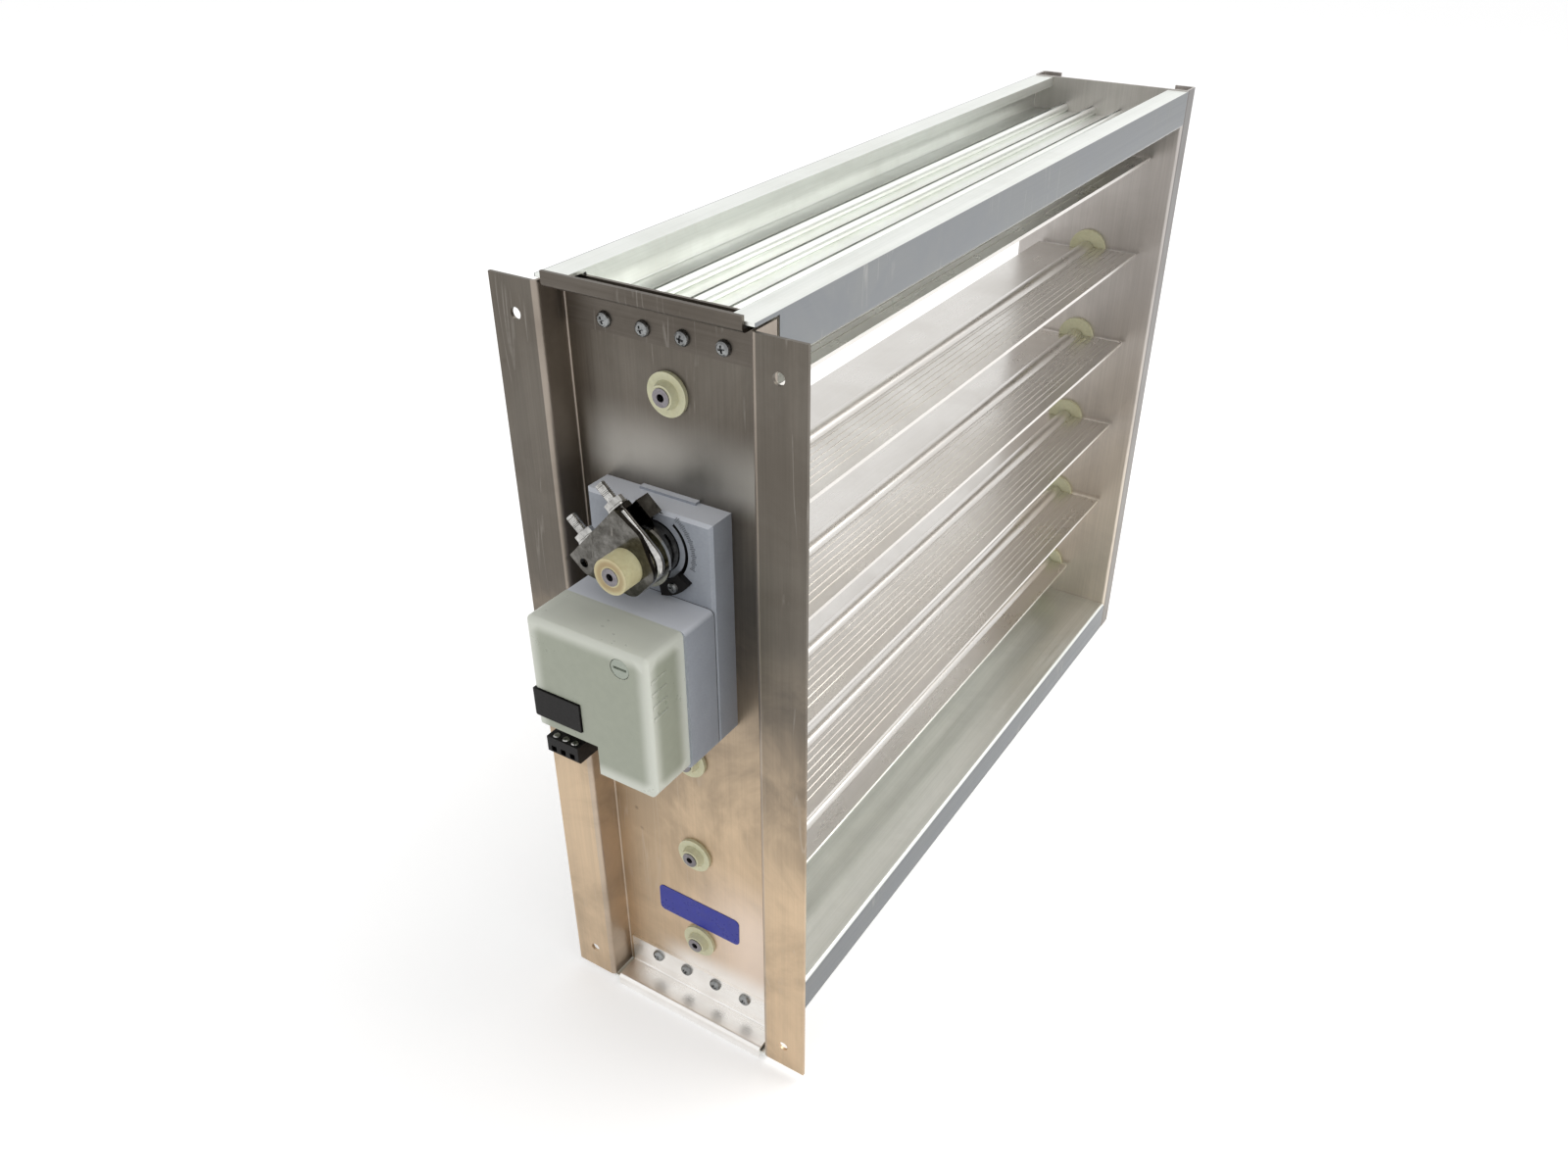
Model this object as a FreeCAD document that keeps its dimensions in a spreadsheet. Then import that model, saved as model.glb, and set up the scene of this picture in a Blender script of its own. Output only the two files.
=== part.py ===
import FreeCAD, Part
import math
import os
import Sketcher

# Motorised zone damper: six parallel blades in a four-sided sheet-metal frame,
# turned by an actuator clamped on the second blade's shaft.
# Frame of the model: X is the air flow, Y runs along the blades, Z is up.
# The origin is the centre of the mounting flange, in its front plane.

os.makedirs("parts", exist_ok=True)

V = FreeCAD.Vector
doc = FreeCAD.newDocument("zone_damper")
sheet = doc.addObject("Spreadsheet::Sheet", "sizes")

SIZE_ROWS = [
    # the frame
    ("sheet_thk", 1.6, "thickness of the end plates and brackets"),
    ("bend_in", 0.8, "inside radius of a sheet bend"),
    ("half_width", 53.8, "half of the frame's depth along the air flow"),
    ("flange_reach", 24.0, "width of each mounting flange beyond the frame"),
    ("recess_depth", 16.5, "depth of the near plate's recess in front of its web"),
    ("duct_length", 490.6, "clear length between the two end plates"),
    ("far_depth", 16.0, "depth of the far channel"),
    ("lip_width", 13.5, "width of the inward lips of the rails and far channel"),
    ("blade_pitch", 65.0, "distance from one blade axis to the next"),
    ("top_gap", 22.85, "from the top rail's floor down to the top blade axis"),
    ("bottom_gap", 25.85, "from the bottom rail's floor up to the lowest blade axis"),
    ("near_over", 19.5, "how far the near plate passes the rails' floors"),
    ("far_over", 0.55, "how far the far channel passes the rails' lips"),
    ("mount_hole_r", 2.75, "radius of the holes in the mounting flanges"),
    ("hole_out", 11.2, "from the frame's side to a mounting hole"),
    ("hole_inset", 15.85, "from the near plate's end to a mounting hole"),
    # the rails
    ("rail_thk", 1.5, "wall of the extruded rails"),
    ("rail_depth", 22.1, "height of a rail from its floor to its lips"),
    ("rail_corner", 2.5, "outside radius at a rail's floor"),
    ("hem_drop", 4.3, "length of the turned hem under a rail's lip"),
    ("rail_end_gap", 0.1, "gap between a rail's end and an end plate"),
    ("lip_clear", 0.3, "gap behind the flange at the end of a rail's lip"),
    ("port_rise", 3.6, "height of a screw port's centre over the rail's floor"),
    ("port_hole_r", 1.8, "radius of a screw port"),
    ("port_wall", 1.2, "wall round a screw port"),
    ("port_slot", 1.6, "width of the slot along a screw port"),
    ("port_step", 20.0, "distance from one screw port to the next"),
    ("stop_thk", 1.6, "thickness of the stop rib on a rail's floor"),
    ("stop_gap", 0.4, "gap between a closed blade and the stop rib"),
    ("stop_lap", 2.2, "how far a closed blade laps the stop rib"),
    # the brackets and the screws
    ("bracket_side_gap", 3.2, "gap between a screw bracket's end and the side of the recess"),
    ("strip_below", 2.0, "how far a bracket's strip passes the rail's floor"),
    ("shelf_rise", 17.5, "from the rail's floor to a bracket's shelf"),
    ("bracket_lip", 7.0, "height of a bracket's front lip"),
    ("screw_head_r", 3.55, "radius of a screw's pan head"),
    ("screw_head_t", 2.4, "height of a screw's pan head"),
    ("screw_clear", 0.05, "gap between a screw's shank and its port"),
    ("screw_reach", 20.0, "length of a screw under its head"),
    # the blades and their axles
    ("blade_lap", 7.4, "how far closed blades lap each other"),
    ("blade_thk", 1.6, "thickness of a blade's plates"),
    ("lap_gap", 0.6, "gap between two lapped plates"),
    ("boss_wall", 1.2, "wall of a blade's boss round its axle"),
    ("blade_end_gap", 3.5, "gap between a blade's end and the end plate"),
    ("top_trim", 4.35, "gap left over the top blade's short half"),
    ("bottom_trim", 7.25, "gap left under the lowest blade's short half"),
    ("bead_w", 1.4, "width of the bead along a blade's edge"),
    ("bead_rise", 0.5, "height of the bead along a blade's edge"),
    ("groove_w", 0.8, "width of a blade's groove"),
    ("groove_cut", 0.5, "depth of a blade's groove"),
    ("groove_first", 7.4, "from the axis to the first groove"),
    ("groove_step", 4.2, "distance from one groove to the next"),
    ("axle_r", 4.2, "radius of the tubular axles"),
    ("axle_bore_r", 1.8, "radius of the hole down an axle"),
    ("axle_proud", 0.5, "how far an axle passes its near bushing"),
    ("run_gap", 0.05, "running gap between an axle and its bushing"),
    # the bushings
    ("bush_disc_r", 9.9, "radius of a bushing's outer disc"),
    ("bush_disc_t", 1.8, "thickness of a bushing's outer disc"),
    ("bush_hub_r", 6.5, "radius of a bushing's hub at its disc"),
    ("bush_tip_r", 5.3, "radius of a bushing's hub at its end"),
    ("bush_hub_len", 3.5, "length of a bushing's hub"),
    ("bush_body_r", 6.0, "radius of a bushing in the web's hole"),
    ("bush_fit", 0.1, "gap between a bushing and the web's hole"),
    ("bush_flange_r", 13.0, "radius of a bushing's flange on the duct side"),
    ("bush_flange_t", 2.5, "thickness of that flange"),
    # the linkage
    ("crank_r", 20.0, "from an axle to its crank pin"),
    ("crank_lead", 45.0, "crank angle over the horizontal with the blades open"),
    ("crank_t", 2.5, "thickness of a crank"),
    ("crank_hub_r", 7.5, "radius of a crank round its axle"),
    ("crank_tip_r", 5.0, "radius of a crank round its pin"),
    ("side_gap", 0.3, "gap between pieces that turn side by side"),
    ("pin_r", 2.5, "radius of a crank pin"),
    ("pin_gap", 0.1, "gap between a crank pin and the link bar"),
    ("pin_head_r", 3.8, "radius of a crank pin's head"),
    ("pin_head_t", 1.2, "thickness of a crank pin's head"),
    ("link_t", 2.0, "thickness of the link bar"),
    ("link_half", 5.0, "half width of the link bar"),
    # the actuator's housing
    ("act_left", -37.4, "left side of the actuator"),
    ("act_right", 29.9, "right side of the actuator"),
    ("act_top_over", 17.85, "from the drive axis up to the actuator's top"),
    ("act_drop", 97.85, "from the drive axis down to the actuator's underside"),
    ("act_step_drop", 23.35, "from the drive axis down to the deep lower half"),
    ("act_face", 1.6, "front face of the actuator's flat upper half"),
    ("act_seam", -19.3, "seam between the middle housing and the cover"),
    ("act_front", -44.9, "front face of the cover"),
    ("act_corner", 3.0, "corner radius of the actuator's housings"),
    ("act_slope", 1.5, "slope along the upper half's top edge"),
    ("act_slope_side", 1.5, "slope along the upper half's sides"),
    ("act_tab_rise", 1.3, "height of the pad on the actuator's top"),
    ("hub_gap", 0.4, "gap between the turning hub and the housing"),
    ("bush_room", 0.6, "room round a bushing behind the housing"),
    ("slot_in_r", 15.4, "inner radius of the travel slot"),
    ("slot_out_r", 17.2, "outer radius of the travel slot"),
    ("slot_up", 53.0, "upper end of the travel slot in degrees"),
    ("slot_down", 45.0, "lower end of the travel slot in degrees"),
    ("slot_sink", 4.0, "depth of the travel slot"),
    # the cover and what it carries
    ("cover_wall", 1.6, "wall of the translucent cover"),
    ("cover_right", 28.5, "right side of the cover"),
    ("cover_rise", 0.85, "from the actuator's underside up to the cover"),
    ("notch_right", -3.0, "right end of the terminal notch"),
    ("notch_high", 16.6, "height of the terminal notch over the underside"),
    ("cover_round", 2.4, "radius along the cover's front edges"),
    ("rib_w", 1.2, "width of a small rib on the cover's side"),
    ("rib_step", 6.5, "distance from one small rib to the next"),
    ("rib_top_drop", 13.0, "from the cover's top down to the first small rib"),
    ("board_stand", 3.1, "height of the circuit board's posts"),
    ("board_t", 1.6, "thickness of the circuit board"),
    ("board_edge", 3.0, "gap round the circuit board inside the cover"),
    ("board_low", 24.0, "from the underside up to the circuit board"),
    ("post_r", 2.2, "radius of a circuit board's post"),
    ("dial_x", 14.0, "centre of the direction dial"),
    ("dial_drop", 32.55, "from the drive axis down to the dial"),
    ("dial_r", 4.75, "radius of the dial"),
    ("dial_gap", 0.3, "gap round the dial"),
    ("dial_t", 3.6, "thickness of the dial"),
    ("dial_set_in", 0.2, "how far the dial sits behind the cover's face"),
    ("dial_slot_w", 1.3, "width of the dial's slot"),
    ("dial_slot_cut", 1.2, "depth of the dial's slot"),
    ("dial_stem_r", 2.0, "radius of the dial's stem"),
    ("button_left", -38.9, "left end of the release button"),
    ("button_right", -11.0, "right end of the release button"),
    ("button_low", 21.5, "from the underside up to the release button"),
    ("button_high", 36.3, "from the underside up to the button's top"),
    ("button_proud", 1.0, "how far the button stands in front of the cover"),
    ("button_deep", 15.0, "length of the button into the cover"),
    ("button_gap", 0.4, "gap round the button"),
    ("button_travel", 3.0, "how far the button is pressed"),
    ("plug_left", -33.4, "left end of the terminal plug"),
    ("plug_right", -15.2, "right end of the terminal plug"),
    ("plug_front", -45.4, "front of the terminal plug"),
    ("plug_low", 0.8, "underside of the plug from the actuator's underside"),
    ("plug_high", 10.2, "height of the plug's back"),
    ("header_high", 14.0, "top of the header from the actuator's underside"),
    ("header_deep", 11.0, "depth of the terminal header"),
    ("header_low", 2.0, "underside of the header from the actuator's underside"),
    ("header_right", -5.0, "right end of the terminal header"),
    ("wire_slot", 3.0, "side of a terminal's wire entry"),
    ("wire_step", 5.4, "distance from one terminal to the next"),
    ("term_r", 2.2, "radius of a terminal screw's well"),
    ("term_cut", 1.0, "depth of a terminal screw's well"),
    # the drive sleeve and its clamp
    ("sleeve_r", 8.5, "radius of the drive sleeve"),
    ("sleeve_front", -29.7, "front end of the drive sleeve"),
    ("shaft_proud", 0.4, "how far the drive axle passes its sleeve"),
    ("sleeve_fit", 0.05, "gap between the sleeve and the hub"),
    ("hub_r", 12.4, "radius of the turning hub"),
    ("hub_front", -7.0, "front of the turning hub"),
    ("hub_back", 13.8, "back of the turning hub"),
    ("ring_r", 14.8, "radius of the bright ring round the hub"),
    ("ring_t", 1.6, "thickness of the bright ring"),
    ("ring_back", -7.1, "back of the bright ring"),
    ("clamp_tilt", 47.9, "tilt of the clamp in degrees"),
    ("jaw_front", -19.0, "front of the clamp's jaw plate"),
    ("jaw_t", 2.3, "thickness of the clamp's plates"),
    ("jaw_left", -24.5, "left end of the clamp's jaw plate"),
    ("jaw_right", 16.0, "right end of the clamp's jaw plate"),
    ("jaw_wide", 18.0, "widest point of the jaw plate on its right"),
    ("jaw_out", 20.5, "from the shaft axis to the clamp flange's outer face"),
    ("jaw_in", 12.6, "from the shaft axis to the jaw's rounded side"),
    ("jaw_nose", 9.0, "half width of the jaw's rounded side"),
    ("jaw_shoulder", 5.0, "where the jaw plate starts to narrow on its right"),
    ("jaw_heel", 10.0, "where it starts to narrow on its left"),
    ("jaw_hole_x", -20.3, "place of the spare hole along the jaw plate"),
    ("jaw_hole_z", 13.6, "place of the spare hole across the jaw plate"),
    ("jaw_hole_r", 2.2, "radius of the spare hole"),
    ("jaw_round", 7.0, "radius of the jaw's corners"),
    ("jaw_back", -8.6, "back edge of the clamp's flange"),
    ("bolt_plane", -13.8, "plane of the U-bolt"),
    ("bolt_r", 2.2, "radius of the U-bolt's rod"),
    ("bolt_half", 13.7, "half distance between the U-bolt's legs"),
    ("bolt_bend", 8.0, "bend radius of the U-bolt"),
    ("bolt_reach", 33.0, "from the shaft axis to the U-bolt's ends"),
    ("bolt_hole_gap", 0.2, "gap round the U-bolt in the clamp"),
    ("nut_half", 4.0, "half of a nut's width across flats"),
    ("nut_t", 3.8, "thickness of a nut"),
    ("saddle_half", 17.6, "half width of the hub's saddle"),
    ("saddle_in", 9.0, "from the shaft axis to the saddle's inner face"),
    ("saddle_out", 18.6, "from the shaft axis to the saddle's outer face"),
    ("saddle_front", -7.0, "front of the saddle"),
    ("saddle_back", 0.8, "back of the saddle"),
    # the end stop
    ("stop_mid", 58.0, "angle of the end stop under the horizontal in degrees"),
    ("stop_half", 23.0, "half angle of the end stop in degrees"),
    ("stop_in_r", 15.6, "inner radius of the end stop"),
    ("stop_out_r", 22.8, "outer radius of the end stop"),
    ("stop_t", 3.0, "thickness of the end stop"),
    ("stop_screw_r", 19.4, "from the shaft axis to the end stop's screw"),
    ("stop_head_r", 2.6, "radius of that screw's head"),
    ("stop_head_t", 1.5, "thickness of that screw's head"),
    # the blank label
    ("label_w", 53.0, "width of the blank label"),
    ("label_tall", 18.5, "height of the blank label"),
    ("label_t", 0.3, "thickness of the blank label"),
    ("label_up", 19.8, "from the lowest blade axis up to the label's centre"),
    ("label_tilt", 0.8, "tilt of the label in degrees"),
]


class Dim:
    """A size of the model: its number, and the expression over the sheet that gives it."""

    def __init__(self, value, text):
        self.value = float(value)
        self.text = text

    def __add__(self, other):
        other = dim(other)
        return Dim(self.value + other.value, "(%s + %s)" % (self.text, other.text))

    def __sub__(self, other):
        other = dim(other)
        return Dim(self.value - other.value, "(%s - %s)" % (self.text, other.text))

    def __mul__(self, other):
        other = dim(other)
        return Dim(self.value * other.value, "(%s * %s)" % (self.text, other.text))

    def __truediv__(self, other):
        other = dim(other)
        return Dim(self.value / other.value, "(%s / %s)" % (self.text, other.text))

    def __neg__(self):
        return Dim(-self.value, "(0 - %s)" % self.text)

    __radd__ = __add__
    __rmul__ = __mul__

    def __rsub__(self, other):
        return dim(other) - self


def dim(value):
    if isinstance(value, Dim):
        return value
    return Dim(value, repr(float(value)))


def cosine(angle):
    return Dim(math.cos(math.radians(angle.value)), "cos(%s * 1 deg)" % angle.text)


def sine(angle):
    return Dim(math.sin(math.radians(angle.value)), "sin(%s * 1 deg)" % angle.text)


def tangent(angle):
    return Dim(math.tan(math.radians(angle.value)), "tan(%s * 1 deg)" % angle.text)


class Sizes:
    pass


S = Sizes()
for row, (name, number, note) in enumerate(SIZE_ROWS, 1):
    sheet.set("A%d" % row, name)
    sheet.set("B%d" % row, repr(number))
    sheet.set("C%d" % row, note)
    sheet.setAlias("B%d" % row, name)
    setattr(S, name, Dim(number, "sizes." + name))
doc.recompute()

ZERO = dim(0.0)
AXIS_COUNT = 6
bodies = []


def new_body(label):
    """A sub-part of its own, named after its file."""
    body = doc.addObject("PartDesign::Body", label)
    body.Label = label
    bodies.append(body)
    return body


def place(body, x=None, y=None, z=None, turn=None, about=None):
    """Puts a finished sub-part where it belongs."""
    if turn is not None:
        body.Placement = FreeCAD.Placement(V(0, 0, 0), FreeCAD.Rotation(about, turn.value))
        body.setExpression("Placement.Rotation.Angle", turn.text)
    for letter, size in (("x", x), ("y", y), ("z", z)):
        if size is not None:
            body.setExpression("Placement.Base." + letter, size.text)


def new_sketch(body, role, offset=None):
    """A sketch on one of the body's own origin planes, lifted off it by an offset."""
    sketch = body.newObject("Sketcher::SketchObject", body.Name + "_sketch")
    for feature in body.Origin.OriginFeatures:
        if feature.Role == role:
            sketch.AttachmentSupport = [(feature, "")]
    sketch.MapMode = "FlatFace"
    if offset is not None:
        sketch.AttachmentOffset = FreeCAD.Placement(V(0, 0, offset.value), FreeCAD.Rotation())
        sketch.setExpression("AttachmentOffset.Base.z", offset.text)
    return sketch


def hold(sketch, kind, geo, pos, size):
    """Holds one coordinate of a sketch point at a size from the sheet."""
    size = dim(size)
    if size.text == "0.0":
        axis = -2 if kind == "DistanceX" else -1
        sketch.addConstraint(Sketcher.Constraint("PointOnObject", geo, pos, axis))
        return
    index = sketch.addConstraint(
        Sketcher.Constraint(kind, -1, 1, geo, pos, size.value))
    sketch.setExpression("Constraints[%d]" % index, size.text)


def polygon(sketch, points):
    """A closed outline whose every corner is held by the sheet."""
    first = sketch.GeometryCount
    count = len(points)
    points = [(dim(a), dim(b)) for a, b in points]
    lines = []
    for i in range(count):
        a = points[i]
        b = points[(i + 1) % count]
        lines.append(Part.LineSegment(V(a[0].value, a[1].value, 0), V(b[0].value, b[1].value, 0)))
    sketch.addGeometry(lines, False)
    for i in range(count):
        sketch.addConstraint(
            Sketcher.Constraint("Coincident", first + i, 2, first + (i + 1) % count, 1))
    for i in range(count):
        hold(sketch, "DistanceX", first + i, 1, points[i][0])
        hold(sketch, "DistanceY", first + i, 1, points[i][1])


def box_outline(sketch, x0, x1, y0, y1):
    polygon(sketch, [(x0, y0), (x1, y0), (x1, y1), (x0, y1)])


def circle(sketch, x, y, radius):
    x = dim(x)
    y = dim(y)
    geo = sketch.addGeometry(Part.Circle(V(x.value, y.value, 0), V(0, 0, 1), radius.value), False)
    hold(sketch, "DistanceX", geo, 3, x)
    hold(sketch, "DistanceY", geo, 3, y)
    index = sketch.addConstraint(Sketcher.Constraint("Radius", geo, radius.value))
    sketch.setExpression("Constraints[%d]" % index, radius.text)


def ring_sector(sketch, r_in, r_out, start, stop, kind):
    """A piece of a ring about the sketch's origin, its four corners held along one axis."""
    way = cosine if kind == "DistanceX" else sine
    arcs = []
    for radius in (r_in, r_out):
        arc = Part.ArcOfCircle(
            Part.Circle(V(0, 0, 0), V(0, 0, 1), radius.value),
            math.radians(start.value), math.radians(stop.value))
        geo = sketch.addGeometry(arc, False)
        sketch.addConstraint(Sketcher.Constraint("Coincident", geo, 3, -1, 1))
        index = sketch.addConstraint(Sketcher.Constraint("Radius", geo, radius.value))
        sketch.setExpression("Constraints[%d]" % index, radius.text)
        hold(sketch, kind, geo, 1, radius * way(start))
        hold(sketch, kind, geo, 2, radius * way(stop))
        arcs.append(geo)
    for pos, angle in ((1, start), (2, stop)):
        turn = math.radians(angle.value)
        line = Part.LineSegment(
            V(r_in.value * math.cos(turn), r_in.value * math.sin(turn), 0),
            V(r_out.value * math.cos(turn), r_out.value * math.sin(turn), 0))
        geo = sketch.addGeometry(line, False)
        sketch.addConstraint(Sketcher.Constraint("Coincident", geo, 1, arcs[0], pos))
        sketch.addConstraint(Sketcher.Constraint("Coincident", geo, 2, arcs[1], pos))


PLANES = {"X": "YZ_Plane", "Y": "XZ_Plane", "Z": "XY_Plane"}


def extrude(body, kind, along, low, high, draw):
    """Pads or pockets a drawn outline along an axis, from one height to another."""
    low = dim(low)
    high = dim(high)
    flip = along == "Y"
    sketch = new_sketch(body, PLANES[along], -low if flip else low)
    draw(sketch)
    feature = body.newObject("PartDesign::" + kind, body.Name + "_" + kind.lower())
    feature.Profile = sketch
    feature.Reversed = flip == (kind == "Pad")
    feature.setExpression("Length", (high - low).text)
    body.Tip = feature
    return feature


def pad(body, along, low, high, draw):
    return extrude(body, "Pad", along, low, high, draw)


def pocket(body, along, low, high, draw):
    return extrude(body, "Pocket", along, low, high, draw)


def revolve(body, points):
    """Turns an outline of (radius, height) about the body's Y axis."""
    sketch = new_sketch(body, "XY_Plane")
    polygon(sketch, points)
    feature = body.newObject("PartDesign::Revolution", body.Name + "_turned")
    feature.Profile = sketch
    feature.ReferenceAxis = (sketch, ["V_Axis"])
    feature.Angle = 360
    body.Tip = feature
    return feature


def repeat(body, original, axis, length, count, backwards=False):
    """Repeats a feature in a straight row."""
    feature = body.newObject("PartDesign::LinearPattern", body.Name + "_row")
    feature.Originals = [original]
    feature.Direction = (original.Profile[0], [axis])
    feature.Reversed = backwards
    feature.Occurrences = count
    feature.setExpression("Length", length.text)
    body.Tip = feature
    return feature


def straight_edges(feature, along, spots):
    """Names the straight edges that run along an axis through the given spots."""
    lone = "XYZ".index(along)
    a, b = [i for i in range(3) if i != lone]
    names = []
    for number, edge in enumerate(feature.Shape.Edges, 1):
        if len(edge.Vertexes) < 2 or edge.Curve.TypeId != "Part::GeomLine":
            continue
        p = edge.Vertexes[0].Point
        q = edge.Vertexes[1].Point
        if abs(p[a] - q[a]) > 1e-5 or abs(p[b] - q[b]) > 1e-5:
            continue
        for u, v in spots:
            if abs(p[a] - dim(u).value) < 1e-4 and abs(p[b] - dim(v).value) < 1e-4:
                names.append("Edge%d" % number)
    return names


def soften(body, kind, picks, size):
    """Fillets or chamfers the straight edges named as (axis, spots)."""
    doc.recompute()
    base = body.Tip
    names = []
    for along, spots in picks:
        names += straight_edges(base, along, spots)
    feature = body.newObject("PartDesign::" + kind, body.Name + "_" + kind.lower())
    feature.Base = (base, names)
    feature.setExpression("Radius" if kind == "Fillet" else "Size", dim(size).text)
    body.Tip = feature
    return feature


# places that many pieces share

web_front = S.recess_depth
web_back = web_front + S.sheet_thk
far_web = web_back + S.duct_length
far_back = far_web + S.sheet_thk
far_end = far_web + S.far_depth
inner_half = S.half_width - S.sheet_thk
bracket_half = inner_half - S.bracket_side_gap
floor_half = (S.blade_pitch * (AXIS_COUNT - 1) + S.top_gap + S.bottom_gap) / 2
near_half = floor_half + S.near_over
rail_top = floor_half + S.rail_depth
far_half = rail_top + S.far_over
port_z = floor_half + S.port_rise
axis_top = floor_half - S.top_gap
axis_z = [axis_top - S.blade_pitch * k for k in range(AXIS_COUNT)]
drive_z = axis_z[1]
bend_out = S.bend_in + S.sheet_thk
web_hole_r = S.bush_body_r + S.bush_fit
screw_r = S.port_hole_r - S.screw_clear
port_half = S.port_step * 1.5


def web_holes(body, low, high):
    """The row of bushing holes and the two rows of screw holes in an end plate's web."""
    first = pocket(body, "Y", low, high, lambda sk: circle(sk, 0, axis_top, web_hole_r))
    repeat(body, first, "V_Axis", S.blade_pitch * (AXIS_COUNT - 1), AXIS_COUNT, True)
    for side in (1, -1):
        row = pocket(
            body, "Y", low, high,
            lambda sk: circle(sk, -port_half, port_z * side, S.port_hole_r + S.screw_clear))
        repeat(body, row, "H_Axis", S.port_step * 3, 4)


# near end plate: a hat section whose brim is the mounting flange

near_plate = new_body("near_end_plate")
flange_edge = S.half_width + S.flange_reach
pad(near_plate, "Z", -near_half, near_half, lambda sk: polygon(sk, [
    (inner_half, web_front), (inner_half, 0), (flange_edge, 0), (flange_edge, S.sheet_thk),
    (S.half_width, S.sheet_thk), (S.half_width, web_back),
    (-S.half_width, web_back), (-S.half_width, S.sheet_thk),
    (-flange_edge, S.sheet_thk), (-flange_edge, 0), (-inner_half, 0), (-inner_half, web_front)]))
soften(near_plate, "Fillet", [("Z", [
    (inner_half, web_front), (-inner_half, web_front),
    (S.half_width, S.sheet_thk), (-S.half_width, S.sheet_thk)])], S.bend_in)
soften(near_plate, "Fillet", [("Z", [
    (inner_half, 0), (-inner_half, 0),
    (S.half_width, web_back), (-S.half_width, web_back)])], bend_out)
web_holes(near_plate, web_front, web_back)
mount_x = S.half_width + S.hole_out
mount_z = near_half - S.hole_inset


def mount_hole_outline(sk):
    for sx in (1, -1):
        for sz in (1, -1):
            circle(sk, mount_x * sx, mount_z * sz, S.mount_hole_r)


pocket(near_plate, "Y", ZERO, S.sheet_thk, mount_hole_outline)


# far end plate: a channel with its legs and lips turned away from the duct

far_plate = new_body("far_end_plate")
far_lip = S.half_width - S.lip_width
pad(far_plate, "Z", -far_half, far_half, lambda sk: polygon(sk, [
    (-S.half_width, far_web), (S.half_width, far_web), (S.half_width, far_end),
    (far_lip, far_end), (far_lip, far_end - S.sheet_thk),
    (inner_half, far_end - S.sheet_thk), (inner_half, far_back),
    (-inner_half, far_back), (-inner_half, far_end - S.sheet_thk),
    (-far_lip, far_end - S.sheet_thk), (-far_lip, far_end), (-S.half_width, far_end)]))
soften(far_plate, "Fillet", [("Z", [
    (inner_half, far_back), (-inner_half, far_back),
    (inner_half, far_end - S.sheet_thk), (-inner_half, far_end - S.sheet_thk)])], S.bend_in)
soften(far_plate, "Fillet", [("Z", [
    (S.half_width, far_web), (-S.half_width, far_web),
    (S.half_width, far_end), (-S.half_width, far_end)])], bend_out)
web_holes(far_plate, far_web, far_back)


# top and bottom rails: extruded channels open away from the duct, with four screw
# ports on the floor, hemmed lips, and a rib that a closed blade stops against

def make_rail(label, side, stop_depth):
    rail = new_body(label)
    low = web_back + S.rail_end_gap
    high = far_web - S.rail_end_gap
    floor = floor_half * side
    inside = (floor_half + S.rail_thk) * side
    lip_top = rail_top * side
    lip_under = (rail_top - S.rail_thk) * side
    hem_end = (rail_top - S.rail_thk - S.hem_drop) * side
    wall = S.half_width - S.rail_thk
    hem_in = far_lip + S.rail_thk
    pad(rail, "Y", low, high, lambda sk: polygon(sk, [
        (-S.half_width, floor), (S.half_width, floor), (S.half_width, lip_top),
        (far_lip, lip_top), (far_lip, hem_end), (hem_in, hem_end), (hem_in, lip_under),
        (wall, lip_under), (wall, inside), (-wall, inside), (-wall, lip_under),
        (-hem_in, lip_under), (-hem_in, hem_end), (-far_lip, hem_end),
        (-far_lip, lip_top), (-S.half_width, lip_top)]))
    soften(rail, "Fillet", [("Y", [(S.half_width, floor), (-S.half_width, floor)])], S.rail_corner)
    soften(rail, "Fillet", [("Y", [(wall, inside), (-wall, inside)])],
           S.rail_corner - S.rail_thk)
    boss = pad(rail, "Y", low, high,
               lambda sk: circle(sk, -port_half, port_z * side, S.port_hole_r + S.port_wall))
    repeat(rail, boss, "H_Axis", S.port_step * 3, 4)
    bore = pocket(rail, "Y", low, high,
                  lambda sk: circle(sk, -port_half, port_z * side, S.port_hole_r))
    repeat(rail, bore, "H_Axis", S.port_step * 3, 4)
    slot_end = (port_z + S.port_hole_r + S.port_wall * 2) * side
    slot = pocket(rail, "Y", low, high, lambda sk: box_outline(
        sk, -port_half - S.port_slot / 2, -port_half + S.port_slot / 2,
        port_z * side, slot_end))
    repeat(rail, slot, "H_Axis", S.port_step * 3, 4)
    # the rib stands beside the closed blade's plate and laps its edge
    face = (S.stop_gap - S.lap_gap / 2) * side
    back = face + S.stop_thk * side
    tip = (floor_half - stop_depth) * side
    pad(rail, "Y", low, high, lambda sk: box_outline(sk, face, back, tip, inside))
    # the lips run on over the hat section to the back of its flange
    for sx in (1, -1):
        pad(rail, "Y", S.sheet_thk + S.lip_clear, low + S.rail_thk, lambda sk: box_outline(
            sk, far_lip * sx, S.half_width * sx, lip_under, lip_top))
    return rail


make_rail("top_rail", 1, S.top_trim + S.stop_lap)
make_rail("bottom_rail", -1, S.bottom_trim + S.stop_lap)


# the two brackets: a strip screwed to the web, a shelf and a front lip

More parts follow.
